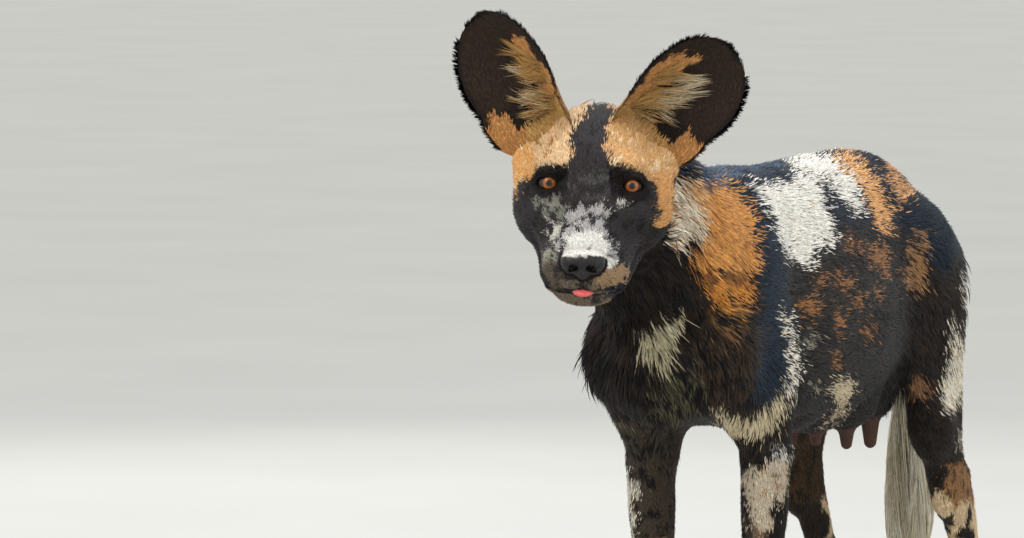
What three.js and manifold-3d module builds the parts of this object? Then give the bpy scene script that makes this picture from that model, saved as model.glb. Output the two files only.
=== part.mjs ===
// An African wild dog, life size: a nursing female that stands square and turns its head to its left.
// Millimetres, +Z up. The dog faces -Y, its left side is +X, and its feet stand on z = 0.
// The body is one smooth field of blended masses. Each part is a stretch of its surface, parted from
// its neighbours by thin flat cuts. The ears, eyes, nose, tongue, claws and tail hair are set on it.

import * as THREE from "three";
import { mergeVertices } from "three/addons/utils/BufferGeometryUtils.js";
import Module from "manifold-3d";

const wasm = await Module();
wasm.setup();

// Driving dimensions
const SEAM = 0.3; // gap between two parts that touch
const COAT = 4; // depth of the short coat over the flesh
const EYE_LINE = [16, -241, 648]; // midway between the eyes
const HEAD_TURN = 19; // degrees to the dog's left
const HEAD_DIP = 27; // degrees that the muzzle points down
const HEAD_ROLL = 2; // degrees, left eye lower
const EYE = [1.8, 41, 3.3]; // the left eye in the head's frame: forward, to the left, up
const EYE_RADIUS = 12.5;
const EAR = { root: [-92, 52, 15], halfWidth: 49, thickness: 5, lobe: 6 };
const PAW = { fore: { width: 64, length: 88 }, hind: { width: 56, length: 80 } };

// The joints of each leg, on the left side as they are and on the right side mirrored
const FORELEGS = {
  left: { shoulder: [60, -16, 462], elbow: [73, 72, 360], wrist: [64, 72, 162], knuckle: [62, 56, 46] },
  right: { shoulder: [56, -16, 464], elbow: [63, 88, 352], wrist: [58, 96, 160], knuckle: [57, 80, 46] },
};
const HINDLEGS = {
  left: { hip: [54, 526, 520], knee: [84, 504, 342], hock: [73, 642, 180], knuckle: [70, 612, 44] },
  right: { hip: [54, 520, 520], knee: [80, 464, 344], hock: [72, 576, 184], knuckle: [69, 548, 44] },
};

// Outline of the trunk at places along the body: y, top, underside, half width
const TRUNK = [
  [-60, 508, 424, 34],
  [-35, 568, 406, 56],
  [10, 616, 394, 72],
  [60, 642, 388, 80],
  [120, 648, 382, 87],
  [200, 644, 372, 94],
  [280, 645, 365, 95],
  [350, 648, 366, 91],
  [402, 649, 374, 85],
  [446, 650, 388, 80],
  [498, 645, 408, 78],
  [550, 628, 434, 70],
  [594, 598, 462, 56],
  [626, 564, 488, 36],
];
// The neck from the chest to the skull: place, depth and width of its section
const NECK = [
  [[0, 40, 540], 98, 80],
  [[0, -28, 574], 88, 70],
  [[-3, -86, 612], 72, 60],
  [[-6, -138, 646], 62, 54],
];
// The tail's core from its root to its end: place and radius
const TAIL = [
  [[0, 598, 560], 24],
  [[0, 646, 516], 17],
  [[-2, 666, 450], 14],
  [[-4, 671, 370], 13],
  [[-6, 672, 280], 11],
  [[-7, 670, 200], 6],
];
// Long hair at the end of the tail: height, and how far its outer locks stand from the tail's middle
const BRUSH = [
  [410, 17],
  [350, 24],
  [290, 29],
  [230, 29],
  [180, 20],
  [140, 5],
];
const BRUSH_LOCKS = { tiers: 4, around: 5, top: 398, tierDrop: 50, length: 128, width: 26, depth: 8 };
// Outline of the upper head forward from the cheeks: forward, top, mouth line, half width
const MUZZLE = [
  [-12, 26, -60, 58],
  [8, 17, -62, 51],
  [28, 4, -64, 44],
  [52, -7, -66, 39],
  [76, -14, -66, 35],
  [91, -20, -65, 27],
];
// Outline of the lower jaw: forward, top, underside, half width
const JAW = [
  [-55, -40, -84, 50],
  [-15, -48, -90, 46],
  [18, -56, -90, 40],
  [50, -60, -88, 33],
  [82, -62, -84, 25],
];

// Small vector and blending helpers
const clamp = (v, low, high) => Math.min(Math.max(v, low), high);
const mix = (a, b, t) => a + (b - a) * t;
const add = (a, b) => [a[0] + b[0], a[1] + b[1], a[2] + b[2]];
const sub = (a, b) => [a[0] - b[0], a[1] - b[1], a[2] - b[2]];
const times = (a, k) => [a[0] * k, a[1] * k, a[2] * k];
const dot = (a, b) => a[0] * b[0] + a[1] * b[1] + a[2] * b[2];
const cross = (a, b) => [a[1] * b[2] - a[2] * b[1], a[2] * b[0] - a[0] * b[2], a[0] * b[1] - a[1] * b[0]];
const unit = (a) => times(a, 1 / Math.hypot(...a));
const radians = (degrees) => (degrees * Math.PI) / 180;
// Joins two distances with a fillet about k wide
const soft = (a, b, k) => Math.min(a, b) - Math.max(k - Math.abs(a - b), 0) ** 2 / (4 * k);

// A row of a table between its rows, on a smooth curve through them
function along(table, t) {
  let i = 0;
  while (i < table.length - 2 && t > table[i + 1][0]) i++;
  const [a, b, c, d] = [-1, 0, 1, 2].map((j) => table[clamp(i + j, 0, table.length - 1)]);
  const span = c[0] - b[0];
  const u = clamp((t - b[0]) / span, 0, 1);
  return b.map((value, n) => {
    const into = ((c[n] - a[n]) / (c[0] - a[0])) * span;
    const out = ((d[n] - b[n]) / (d[0] - b[0])) * span;
    const rise = c[n] - value;
    return value + u * (into + u * (3 * rise - 2 * into - out + u * (into + out - 2 * rise)));
  });
}

// Distances in millimetres, negative inside
function ellipsoid(p, centre, radii, tilt = 0) {
  const x = p[0] - centre[0];
  const [y, z] = [p[1] - centre[1], p[2] - centre[2]];
  const [c, s] = [Math.cos(radians(tilt)), Math.sin(radians(tilt))];
  const q = [x, y * c + z * s, z * c - y * s];
  const near = Math.hypot(q[0] / radii[0], q[1] / radii[1], q[2] / radii[2]);
  const steep = Math.hypot(q[0] / radii[0] ** 2, q[1] / radii[1] ** 2, q[2] / radii[2] ** 2);
  return steep > 0 ? (near * (near - 1)) / steep : -Math.min(...radii);
}

// A rod from a to b that tapers; across is its width in X as a share of its depth
function rod(p, a, b, ra, rb, across = 1) {
  const [d, q] = [sub(b, a), sub(p, a)];
  const h = clamp(dot(q, d) / dot(d, d), 0, 1);
  const off = sub(q, times(d, h));
  return Math.hypot(off[0] / across, off[1], off[2]) - mix(ra, rb, h);
}

// A body of egg-shaped sections from a table of top, underside and half width along one axis
function lofted(side, length, height, table, { narrow, square, cap }) {
  const first = table[0][0];
  const last = table.at(-1)[0];
  const at = clamp(length, first, last);
  const [, top, under, half] = along(table, at);
  const rise = (2 * height - top - under) / (top - under);
  const width = half * (1 - narrow * clamp(rise, -1, 1));
  const round = (Math.abs(side / width) ** square + Math.abs(rise) ** square) ** (1 / square);
  return (Math.hypot(round, (length - at) / cap) - 1) * Math.min(half, (top - under) / 2);
}

// The head's own frame: forward, to the left, up, from midway between the eyes
const HEAD_AXES = (() => {
  const [turn, dip, roll] = [HEAD_TURN, HEAD_DIP, HEAD_ROLL].map(radians);
  const forward = [Math.sin(turn) * Math.cos(dip), -Math.cos(turn) * Math.cos(dip), -Math.sin(dip)];
  const level = [Math.cos(turn), Math.sin(turn), 0];
  const upright = cross(forward, level);
  const left = sub(times(level, Math.cos(roll)), times(upright, Math.sin(roll)));
  const up = add(times(upright, Math.cos(roll)), times(level, Math.sin(roll)));
  return [forward, left, up];
})();
const toHead = (p) => HEAD_AXES.map((axis) => dot(sub(p, EYE_LINE), axis));
const turned = (v) => [0, 1, 2].map((i) => v[0] * HEAD_AXES[0][i] + v[1] * HEAD_AXES[1][i] + v[2] * HEAD_AXES[2][i]);
const fromHead = (v) => add(EYE_LINE, turned(v));

// Head, in its own frame; both sides are alike
function head([forward, side, up]) {
  const q = [Math.abs(side), forward, up];
  const cranium = ellipsoid(q, [0, -62, 2], [54, 60, 41]);
  const forehead = ellipsoid(q, [0, -18, 8], [45, 44, 30]);
  const cheek = ellipsoid(q, [43, -34, -33], [33, 50, 47]);
  const cheekbone = rod(q, [42, 22, -16], [64, -50, -6], 12, 15);
  const brow = ellipsoid(q, [33, -3, 15], [16, 19, 12]);
  const muzzle = lofted(side, forward, up, MUZZLE, { narrow: 0.24, square: 2.5, cap: 10 });
  const jaw = lofted(side, forward, up, JAW, { narrow: -0.2, square: 2.4, cap: 9 });
  const throat = ellipsoid(q, [0, -72, -50], [46, 42, 40]);
  const canal = ellipsoid(q, [54, -72, 24], [15, 17, 18]);
  let d = soft(cranium, forehead, 26);
  d = soft(d, cheek, 24);
  d = soft(d, cheekbone, 16);
  d = soft(d, brow, 14);
  d = soft(d, muzzle, 20);
  d = soft(d, jaw, 9);
  d = soft(d, throat, 26);
  return -soft(-d, canal, 8);
}

// A foreleg; p is on the leg's own side, with x outward
function foreleg(p, { shoulder, elbow, wrist, knuckle }) {
  const blade = ellipsoid(p, [54, 58, 545], [25, 50, 98], -14);
  const front = ellipsoid(p, add(shoulder, [0, 2, 4]), [24, 36, 46], -30);
  const upper = rod(p, shoulder, elbow, 36, 25, 0.74);
  const triceps = ellipsoid(p, add(elbow, [-4, 4, 70]), [25, 40, 80], 14);
  const elbowTip = ellipsoid(p, add(elbow, [-2, 24, 6]), [11, 14, 16]);
  const forearm = rod(p, add(elbow, [0, -2, -10]), wrist, 25, 17, 0.88);
  const muscle = ellipsoid(p, add(elbow, [0, -4, -48]), [19, 25, 58], 2);
  const joint = ellipsoid(p, wrist, [18, 19, 23]);
  const pastern = rod(p, wrist, knuckle, 16, 16, 1.12);
  let d = soft(blade, front, 30);
  d = soft(d, upper, 22);
  d = soft(d, triceps, 22);
  d = soft(d, elbowTip, 14);
  d = soft(d, forearm, 18);
  d = soft(d, muscle, 14);
  d = soft(d, joint, 10);
  return soft(d, pastern, 10);
}

function hindleg(p, { hip, knee, hock, knuckle }) {
  const haunch = ellipsoid(p, add(hip, [4, 4, -14]), [36, 72, 90], 24);
  const thigh = rod(p, add(hip, [4, 6, -30]), add(knee, [-6, 20, 14]), 74, 36, 0.46);
  const ham = rod(p, add(hip, [4, 62, -10]), mixed(knee, hock, 0.45), 42, 24, 0.56);
  const kneecap = ellipsoid(p, add(knee, [-2, 4, 8]), [22, 24, 34], 24);
  const calf = rod(p, add(knee, [-4, 32, -6]), add(hock, [0, -4, 12]), 27, 14, 0.7);
  const tendon = rod(p, add(mixed(knee, hock, 0.45), [0, 34, 18]), add(hock, [0, 20, 10]), 14, 9, 0.8);
  const heel = ellipsoid(p, add(hock, [0, 17, 10]), [12, 13, 18], -10);
  const joint = ellipsoid(p, hock, [18, 21, 24]);
  const shank = rod(p, hock, knuckle, 17, 15.5, 1.06);
  let d = soft(haunch, thigh, 40);
  d = soft(d, ham, 26);
  d = soft(d, kneecap, 18);
  d = soft(d, calf, 22);
  d = soft(d, tendon, 20);
  d = soft(d, heel, 10);
  d = soft(d, joint, 12);
  return soft(d, shank, 12);
}
const mixed = (a, b, t) => add(times(a, 1 - t), times(b, t));

// Where the toes of a paw are: for each, its root, its bent joint and its tip
const TOE_SPREAD = [-1.5, -0.5, 0.5, 1.5];
function toesOf([x, y], { width, length }) {
  return TOE_SPREAD.map((place) => {
    const inner = Math.abs(place) < 1;
    const reach = length * (inner ? 0.6 : 0.44);
    return {
      root: [x + place * width * 0.17, y - 4, 34],
      joint: [x + place * width * 0.225, y - reach * 0.62, 26],
      tip: [x + place * width * 0.245, y - reach, 11],
      radius: width * 0.137,
    };
  });
}

function paw(p, knuckle, size) {
  let d = ellipsoid(p, [knuckle[0], knuckle[1] + 2, 14], [size.width * 0.36, size.length * 0.26, 17]);
  d = soft(d, ellipsoid(p, [knuckle[0], knuckle[1] - 6, 36], [size.width * 0.33, size.length * 0.24, 20]), 12);
  for (const { root, joint, tip, radius } of toesOf(knuckle, size)) {
    d = soft(d, soft(rod(p, root, joint, radius, radius), rod(p, joint, tip, radius, radius), 5), 2.5);
  }
  return d;
}

// Teats in pairs along the belly, on a low swelling of the milk glands
const TEATS = [
  { place: [27, 230, 380], swell: [24, 34, 16], drop: 12, thick: 6 },
  { place: [29, 306, 374], swell: [28, 38, 20], drop: 14, thick: 7 },
  { place: [30, 388, 376], swell: [31, 42, 28], drop: 17, thick: 9 },
  { place: [30, 456, 384], swell: [28, 36, 32], drop: 25, thick: 10 },
];
const glands = (p) =>
  TEATS.reduce((d, { place, swell }) => Math.min(d, ellipsoid(p, add(place, [0, 0, 8]), swell)), Infinity);

// The whole animal without what is set on it
function flesh(p) {
  const mirror = [Math.abs(p[0]), p[1], p[2]];
  const side = p[0] > 0 ? "left" : "right";
  let d = lofted(p[0], p[1], p[2], TRUNK, { narrow: 0.2, square: 2.25, cap: 26 });
  d = soft(d, ellipsoid(p, [0, -38, 462], [44, 34, 52]), 34);
  for (let i = 0; i + 1 < NECK.length; i++) {
    const [[a, ra, wa], [b, rb]] = [NECK[i], NECK[i + 1]];
    d = soft(d, rod(p, a, b, ra, rb, wa / ra), 30);
  }
  d = soft(d, foreleg(mirror, FORELEGS[side]), 26);
  d = soft(d, hindleg(mirror, HINDLEGS[side]), 26);
  d = soft(d, glands(mirror), 18);
  d = soft(d, paw(mirror, FORELEGS[side].knuckle, PAW.fore), 9);
  d = soft(d, paw(mirror, HINDLEGS[side].knuckle, PAW.hind), 9);
  return soft(d, head(toHead(p)), 22);
}
function chain(p, rods, blend) {
  return rods.slice(1).reduce((d, [b, rb], i) => {
    const [a, ra] = rods[i];
    return soft(d, rod(p, a, b, ra, rb), blend);
  }, Infinity);
}
const coatAt = (p) => COAT * clamp((p[2] - 40) / 100, 0.25, 1);
const skin = (p) => flesh(p) - coatAt(p);
const bodyWithTail = (p) => soft(flesh(p), chain(p, TAIL, 10), 12) - coatAt(p);

// Turns a field into a closed surface, one point in each cell that the surface crosses.
// frame places the cells: it takes a point of the grid's own frame to the model's.
function surfaceOf(field, low, high, step, keep = 1, frame = (p) => p) {
  const count = [0, 1, 2].map((i) => Math.ceil((high[i] - low[i]) / step[i]) + 3);
  const corner = (i, j, k) => [low[0] + (i - 1) * step[0], low[1] + (j - 1) * step[1], low[2] + (k - 1) * step[2]];
  const index = (i, j, k) => (i * count[1] + j) * count[2] + k;
  const value = new Float64Array(count[0] * count[1] * count[2]);
  const inner = count.map((n) => n - 2);
  const each = (limit, visit) => {
    for (let i = 0; i < limit[0]; i++)
      for (let j = 0; j < limit[1]; j++) for (let k = 0; k < limit[2]; k++) visit(i, j, k);
  };
  each(count, (i, j, k) => {
    const edge = i < 1 || j < 1 || k < 1 || i > inner[0] || j > inner[1] || k > inner[2];
    value[index(i, j, k)] = edge ? 1 : field(frame(corner(i, j, k))) || 1e-6;
  });
  const cells = count.map((n) => n - 1);
  settle(value, cells, index, each);

  const points = [];
  const pointAt = new Int32Array(value.length).fill(-1);
  each(cells, (i, j, k) => {
    const sum = [0, 0, 0];
    let crossings = 0;
    for (const [a, b] of CUBE_EDGES) {
      const [va, vb] = [a, b].map((c) => value[index(i + (c & 1), j + ((c >> 1) & 1), k + (c >> 2))]);
      if (va < 0 === vb < 0) continue;
      const t = clamp(va / (va - vb), 0.04, 0.96);
      for (let n = 0; n < 3; n++) sum[n] += mix((a >> n) & 1, (b >> n) & 1, t);
      crossings++;
    }
    if (!crossings) return;
    pointAt[index(i, j, k)] = points.length;
    const base = corner(i, j, k);
    points.push(frame(base.map((v, n) => v + (step[n] * sum[n]) / crossings)));
  });

  const faces = [];
  each(cells, (i, j, k) => {
    const here = value[index(i, j, k)] < 0;
    for (let n = 0; n < 3; n++) {
      const next = [i, j, k].map((v, m) => v + (m === n ? 1 : 0));
      if (here === value[index(...next)] < 0) continue;
      const [u, v] = [(n + 1) % 3, (n + 2) % 3];
      const ring = [[0, 0], [1, 0], [1, 1], [0, 1]].map(([du, dv]) => {
        const cell = [i, j, k];
        cell[u] -= du;
        cell[v] -= dv;
        return pointAt[index(...cell)];
      });
      if (!here) ring.reverse();
      const [a, b, c, d] = ring;
      const short = distance(points[a], points[c]) < distance(points[b], points[d]);
      faces.push(...(short ? [a, b, c, a, c, d] : [b, c, d, b, d, a]));
    }
  });
  return keep < 1 ? thinned(points, faces, keep) : solid(points, faces);
}
const CUBE_EDGES = [0, 1, 2, 3, 4, 5, 6, 7].flatMap((a) => [1, 2, 4].filter((bit) => !(a & bit)).map((bit) => [a, a | bit]));
const distance = (a, b) => Math.hypot(...sub(a, b));

// Moves values that would pinch the surface inside one cell to the other side of it
function settle(value, cells, index, each) {
  const joined = (inside) => {
    let left = inside.length ? [inside[0]] : [];
    const seen = new Set(left);
    while (left.length) {
      const a = left.pop();
      for (const bit of [1, 2, 4]) {
        if (inside.includes(a ^ bit) && !seen.has(a ^ bit)) {
          seen.add(a ^ bit);
          left.push(a ^ bit);
        }
      }
    }
    return seen.size === inside.length;
  };
  const faces = [[0, 1, 3, 2], [4, 5, 7, 6], [0, 1, 5, 4], [2, 3, 7, 6], [0, 2, 6, 4], [1, 3, 7, 5]];
  for (let pass = 0, changed = true; changed && pass < 12; pass++) {
    changed = false;
    each(cells, (i, j, k) => {
      const at = [0, 1, 2, 3, 4, 5, 6, 7].map((c) => index(i + (c & 1), j + ((c >> 1) & 1), k + (c >> 2)));
      const inside = [0, 1, 2, 3, 4, 5, 6, 7].filter((c) => value[at[c]] < 0);
      if (!inside.length || inside.length === 8) return;
      const outside = [0, 1, 2, 3, 4, 5, 6, 7].filter((c) => value[at[c]] >= 0);
      const crossed = faces.find(([a, b, c, d]) => {
        const [p, q, r, s] = [a, b, c, d].map((n) => value[at[n]] < 0);
        return p === r && q === s && p !== q;
      });
      if (!crossed && joined(inside) && joined(outside)) return;
      const among = crossed || (joined(inside) ? outside : inside);
      const least = among.reduce((a, b) => (Math.abs(value[at[a]]) < Math.abs(value[at[b]]) ? a : b));
      value[at[least]] = -value[at[least]];
      changed = true;
    });
  }
}

// Merges the edges that shape a closed surface least, until a share of its triangles is left.
// Each point carries the sum of the squared distances to the planes that met in it.
function thinned(points, faces, keep) {
  const triangles = [];
  for (let i = 0; i < faces.length; i += 3) triangles.push(faces.slice(i, i + 3));
  const around = points.map(() => new Set());
  const errors = points.map(() => new Float64Array(10));
  triangles.forEach((triangle, face) => {
    const [a, b, c] = triangle.map((v) => points[v]);
    const normal = cross(sub(b, a), sub(c, a));
    const area = Math.hypot(...normal) || 1e-9;
    const [x, y, z] = times(normal, 1 / area);
    const w = -dot([x, y, z], a);
    const plane = [x * x, x * y, x * z, x * w, y * y, y * z, y * w, z * z, z * w, w * w];
    for (const v of triangle) {
      around[v].add(face);
      plane.forEach((value, n) => (errors[v][n] += value * area));
    }
  });
  const error = ([a, b, c, d, e, f, g, h, i, j], [x, y, z]) =>
    a * x * x + e * y * y + h * z * z + 2 * (b * x * y + c * x * z + f * y * z + d * x + g * y + i * z) + j;
  const ring = (v) => new Set([...around[v]].flatMap((face) => triangles[face]));
  const age = new Int32Array(points.length);
  const queue = new Queue();
  const offer = (a, b) => {
    const sum = errors[a].map((value, n) => value + errors[b][n]);
    const places = [mixed(points[a], points[b], 0.5), points[a], points[b]];
    const [best] = places.map((place) => [error(sum, place) + 1e-4 * distance(points[a], points[b]) ** 2, place])
      .sort((one, other) => one[0] - other[0]);
    queue.push(best[0], [a, b, best[1], age[a], age[b]]);
  };
  triangles.forEach(([a, b, c]) => [[a, b], [b, c], [c, a]].forEach(([p, q]) => p < q && offer(p, q)));
  const turns = (v, other, place) =>
    [...around[v]].some((face) => {
      if (triangles[face].includes(other)) return false;
      const before = triangles[face].map((n) => points[n]);
      const after = triangles[face].map((n) => (n === v ? place : points[n]));
      const [p, q] = [before, after].map(([a, b, c]) => cross(sub(b, a), sub(c, a)));
      return dot(p, q) < 0.3 * Math.hypot(...p) * Math.hypot(...q);
    });
  let left = triangles.length;
  while (left > triangles.length * keep && queue.size) {
    const [a, b, place, ageA, ageB] = queue.pop();
    if (age[a] !== ageA || age[b] !== ageB || !around[a].size || !around[b].size) continue;
    const shared = [...ring(a)].filter((v) => v !== a && v !== b && ring(b).has(v));
    if (shared.length !== 2 || turns(a, b, place) || turns(b, a, place)) continue;
    points[a] = place;
    errors[b].forEach((value, n) => (errors[a][n] += value));
    for (const face of around[b]) {
      if (triangles[face].includes(a)) {
        for (const v of triangles[face]) if (v !== b) around[v].delete(face);
        triangles[face] = null;
        left--;
      } else {
        triangles[face] = triangles[face].map((v) => (v === b ? a : v));
        around[a].add(face);
      }
    }
    around[b].clear();
    age[a]++;
    for (const v of ring(a)) if (v !== a) offer(a, v);
  }
  return solid(points, triangles.filter(Boolean).flat());
}
// Gives back the item of the least cost first
class Queue {
  constructor() {
    this.items = [];
  }
  get size() {
    return this.items.length;
  }
  push(cost, item) {
    const { items } = this;
    let i = items.push([cost, item]) - 1;
    while (i && items[i][0] < items[(i - 1) >> 1][0]) {
      [items[i], items[(i - 1) >> 1]] = [items[(i - 1) >> 1], items[i]];
      i = (i - 1) >> 1;
    }
  }
  pop() {
    const { items } = this;
    const [first, last] = [items[0], items.pop()];
    if (items.length) items[0] = last;
    for (let i = 0; ; ) {
      const child = [2 * i + 1, 2 * i + 2].filter((n) => n < items.length)
        .reduce((a, b) => (a < 0 || items[b][0] < items[a][0] ? b : a), -1);
      if (child < 0 || items[i][0] <= items[child][0]) break;
      [items[i], items[child]] = [items[child], items[i]];
      i = child;
    }
    return first[1];
  }
}

// Between triangles, three.js geometry and solids that can be joined and cut
function solid(points, faces) {
  const geometry = new THREE.BufferGeometry();
  geometry.setAttribute("position", new THREE.Float32BufferAttribute(points.flat(), 3));
  geometry.setIndex(faces);
  return fromGeometry(geometry);
}
function fromGeometry(geometry) {
  const bare = geometry.clone();
  bare.deleteAttribute("normal");
  bare.deleteAttribute("uv");
  const merged = mergeVertices(bare, 1e-4);
  const mesh = new wasm.Mesh({
    numProp: 3,
    vertProperties: new Float32Array(merged.attributes.position.array),
    triVerts: new Uint32Array(merged.index.array),
  });
  return new wasm.Manifold(mesh);
}
function toGeometry(made) {
  const mesh = made.getMesh();
  const geometry = new THREE.BufferGeometry();
  geometry.setAttribute("position", new THREE.BufferAttribute(new Float32Array(mesh.vertProperties), 3));
  geometry.setIndex(new THREE.BufferAttribute(new Uint32Array(mesh.triVerts), 1));
  return geometry;
}
// The same surface, moved outward by a small distance
function swollen(made, by) {
  const geometry = toGeometry(made);
  geometry.computeVertexNormals();
  const { position, normal } = geometry.attributes;
  for (let i = 0; i < position.count; i++) {
    const moved = ["getX", "getY", "getZ"].map((get) => position[get](i) + by * normal[get](i));
    position.setXYZ(i, ...moved);
  }
  return fromGeometry(geometry);
}
const largest = (made) => made.decompose().reduce((a, b) => (a.volume() > b.volume() ? a : b));

// Keeps what lies behind every plane; each is a point and the direction that points out of the part
function keepBehind(made, planes, gap = SEAM / 2) {
  return planes.reduce((rest, [point, out]) => {
    const normal = unit(out);
    return rest.trimByPlane(times(normal, -1), gap - dot(point, normal));
  }, made);
}
function wedge(planes) {
  return keepBehind(fromGeometry(new THREE.BoxGeometry(3000, 3000, 3000)), planes, -SEAM / 2);
}
const opposite = ([point, out]) => [point, times(out, -1)];
const ontoFloor = (made) => made.trimByPlane([0, 0, 1], 0);

// Materials
const material = (color, roughness = 0.8) => new THREE.MeshStandardMaterial({ color, roughness, metalness: 0 });
const BLACK_COAT = material(0x2c2722);
const TAN_COAT = material(0xb98a55);
const DARK_COAT = material(0x3a3128);
const WHITE_COAT = material(0xd8d2c0);
const EAR_COAT = material(0x2f231b);
const EYE_AMBER = material(0x6b3d17, 0.1);
const NOSE_BLACK = material(0x151412, 0.4);
const TONGUE_PINK = material(0xcd4a4a, 0.4);
const CLAW_HORN = material(0x2a2420, 0.5);

const dog = new THREE.Group();
function place(name, made, finish, group = dog) {
  const mesh = new THREE.Mesh(toGeometry(largest(made)), finish);
  mesh.name = name;
  group.add(mesh);
}

// Seams: each is a point on the cut and the direction from the first part to the second
const HEAD_NECK = [[-10, -150, 650], [-0.17, 0.98, 0.06]];
const NECK_CHEST = [[0, -44, 588], [0, 0.76, -0.65]];
const CHEST_BELLY = [[0, 190, 500], [0, 1, 0]];
const BELLY_HIPS = [[0, 436, 500], [0, 1, 0]];
const HIPS_TAIL = [[0, 650, 510], [0, 1, -0.35]];
const ROOT_BRUSH = [[0, 664, 404], [0, 0, -1]];
const ELBOW_CUT = [[0, 0, 334], [0, 0, -1]];
const WRIST_CUT = [[0, 0, 132], [0, 0, -1]];
const KNEE_CUT = [[0, 480, 300], [0, 0, -1]];
const HOCK_CUT = [[0, 0, 150], [0, 0, -1]];
const TEATS_END = [[0, 0, 290], [0, 0, -1]];
const LEFT_ONLY = [[0, 0, 0], [-1, 0, 0]];

// Planes round the left shoulder and the haunches, which stand out of the trunk
const SHOULDER_BLOCK = [
  [[44, 0, 400], [-1, 0, 0]],
  [[0, 128, 440], [0, 1, -0.06]],
  [[0, 60, 622], [0.5, 0, 1]],
  opposite(NECK_CHEST),
];
const haunchBlock = (shift) => [
  [[44, 500, 400], [-1, 0, -0.08]],
  [[0, 434 + shift, 400], [0, -1, 0.4]],
  [[0, 530, 592], [0.45, 0.3, 1]],
];
const HAUNCH_BLOCKS = { left: haunchBlock(0), right: haunchBlock(-36) };

const SIDES = {
  left: (planes) => planes,
  right: (planes) => planes.map(([[x, y, z], [a, b, c]]) => [[-x, y, z], [-a, b, c]]),
};
function stock(side, field, [x0, x1], [y0, y1], [z0, z1], step, keep) {
  const [a, b] = side === "right" ? [-x1, -x0] : [x0, x1];
  return surfaceOf(field, [a, y0, z0], [b, y1, z1], step, keep);
}

// Draws the same numbers from 0 to 1 each time
function seeded(seed) {
  let state = seed;
  return () => {
    state = (state * 1664525 + 1013904223) % 4294967296;
    return state / 4294967296;
  };
}
// The tail's middle at a height
function tailAt(z) {
  let i = 0;
  while (i < TAIL.length - 2 && z < TAIL[i + 1][0][2]) i++;
  const [[a], [b]] = [TAIL[i], TAIL[i + 1]];
  return mixed(a, b, (z - a[2]) / (b[2] - a[2]));
}
// Tiers of flat tapered locks round a core that reaches half way to their tips
function brushLocks() {
  const { tiers, around, top, tierDrop, length, width, depth } = BRUSH_LOCKS;
  const random = seeded(7);
  const outlineAt = (z) => along(BRUSH.toReversed(), z)[1];
  const coreHeights = [440, 400, 350, 290, 230, 190];
  const coreRadii = coreHeights.map((z) => outlineAt(Math.min(z, 410)) * 0.5);
  let brush = tube(coreHeights.map(tailAt), coreRadii, 8);
  for (let tier = 0; tier < tiers; tier++) {
    for (let k = 0; k < around; k++) {
      const turn = (2 * Math.PI * (k + 0.5 * (tier % 2) + 0.3 * (random() - 0.5))) / around;
      const out = [Math.cos(turn), Math.sin(turn), 0];
      const start = top - tierDrop * (tier + 0.5 * random());
      const reach = Math.min(length * (0.85 + 0.3 * random()), start - 138);
      const places = [0, 0.32, 0.76, 1].map((t, n) => {
        const z = start - reach * t;
        const from = [0.3, 0.74, 0.86, 0.8][n] * outlineAt(Math.max(z, 140));
        return add(tailAt(Math.max(z, 200)), add(times(out, from), [0, 0, z - Math.max(z, 200)]));
      });
      const widths = [0.7, 1, 0.78, 0.1].map((share) => share * width * 0.5);
      brush = brush.add(tube(places, widths, 4, cross(out, [0, 0, 1]), 1, depth / width));
    }
  }
  return brush;
}

// The claws: bent cones, each in its own socket in the paw
function clawOf({ joint, tip, radius }, grow) {
  const ahead = unit(sub(tip, joint));
  const start = add(tip, [0, 1, 4]);
  const places = [0, 0.45, 0.8, 1].map((t) => {
    const reach = (radius + 12) * t + (t === 1 ? grow : 0);
    return [start[0] + ahead[0] * reach * 0.3, start[1] - reach, Math.max(start[2] - 12 * t * t, 2.2)];
  });
  const widths = [4.2, 3.7, 2.3, 0.7].map((r) => r + grow);
  return tube(places, widths, 6, [1, 0, 0], 0.72);
}
// A closed tube through the places; across is the direction of its first radius
function tube(places, widths, around, across = [1, 0, 0], wide = 1, deep = 1) {
  const points = places.flatMap((place, i) => {
    const ahead = unit(sub(places[Math.min(i + 1, places.length - 1)], places[Math.max(i - 1, 0)]));
    const up = unit(cross(ahead, across));
    const level = cross(up, ahead);
    return Array.from({ length: around }, (_, k) => {
      const turn = (2 * Math.PI * k) / around;
      const offset = add(times(level, wide * Math.cos(turn)), times(up, deep * Math.sin(turn)));
      return add(place, times(offset, widths[i]));
    });
  });
  const faces = [];
  for (let i = 0; i + 1 < places.length; i++) {
    for (let k = 0; k < around; k++) {
      const [a, b] = [i * around + k, i * around + ((k + 1) % around)];
      faces.push(a, b, a + around, b, b + around, a + around);
    }
  }
  const last = (places.length - 1) * around;
  for (let k = 1; k + 1 < around; k++) faces.push(0, k + 1, k, last, last + k, last + k + 1);
  return outward(points, faces);
}
function outward(points, faces) {
  const made = solid(points, faces);
  if (made.volume() > 0) return made;
  return solid(points, faces.map((_, i) => faces[i - (i % 3) + 2 - (i % 3)]));
}

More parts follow.
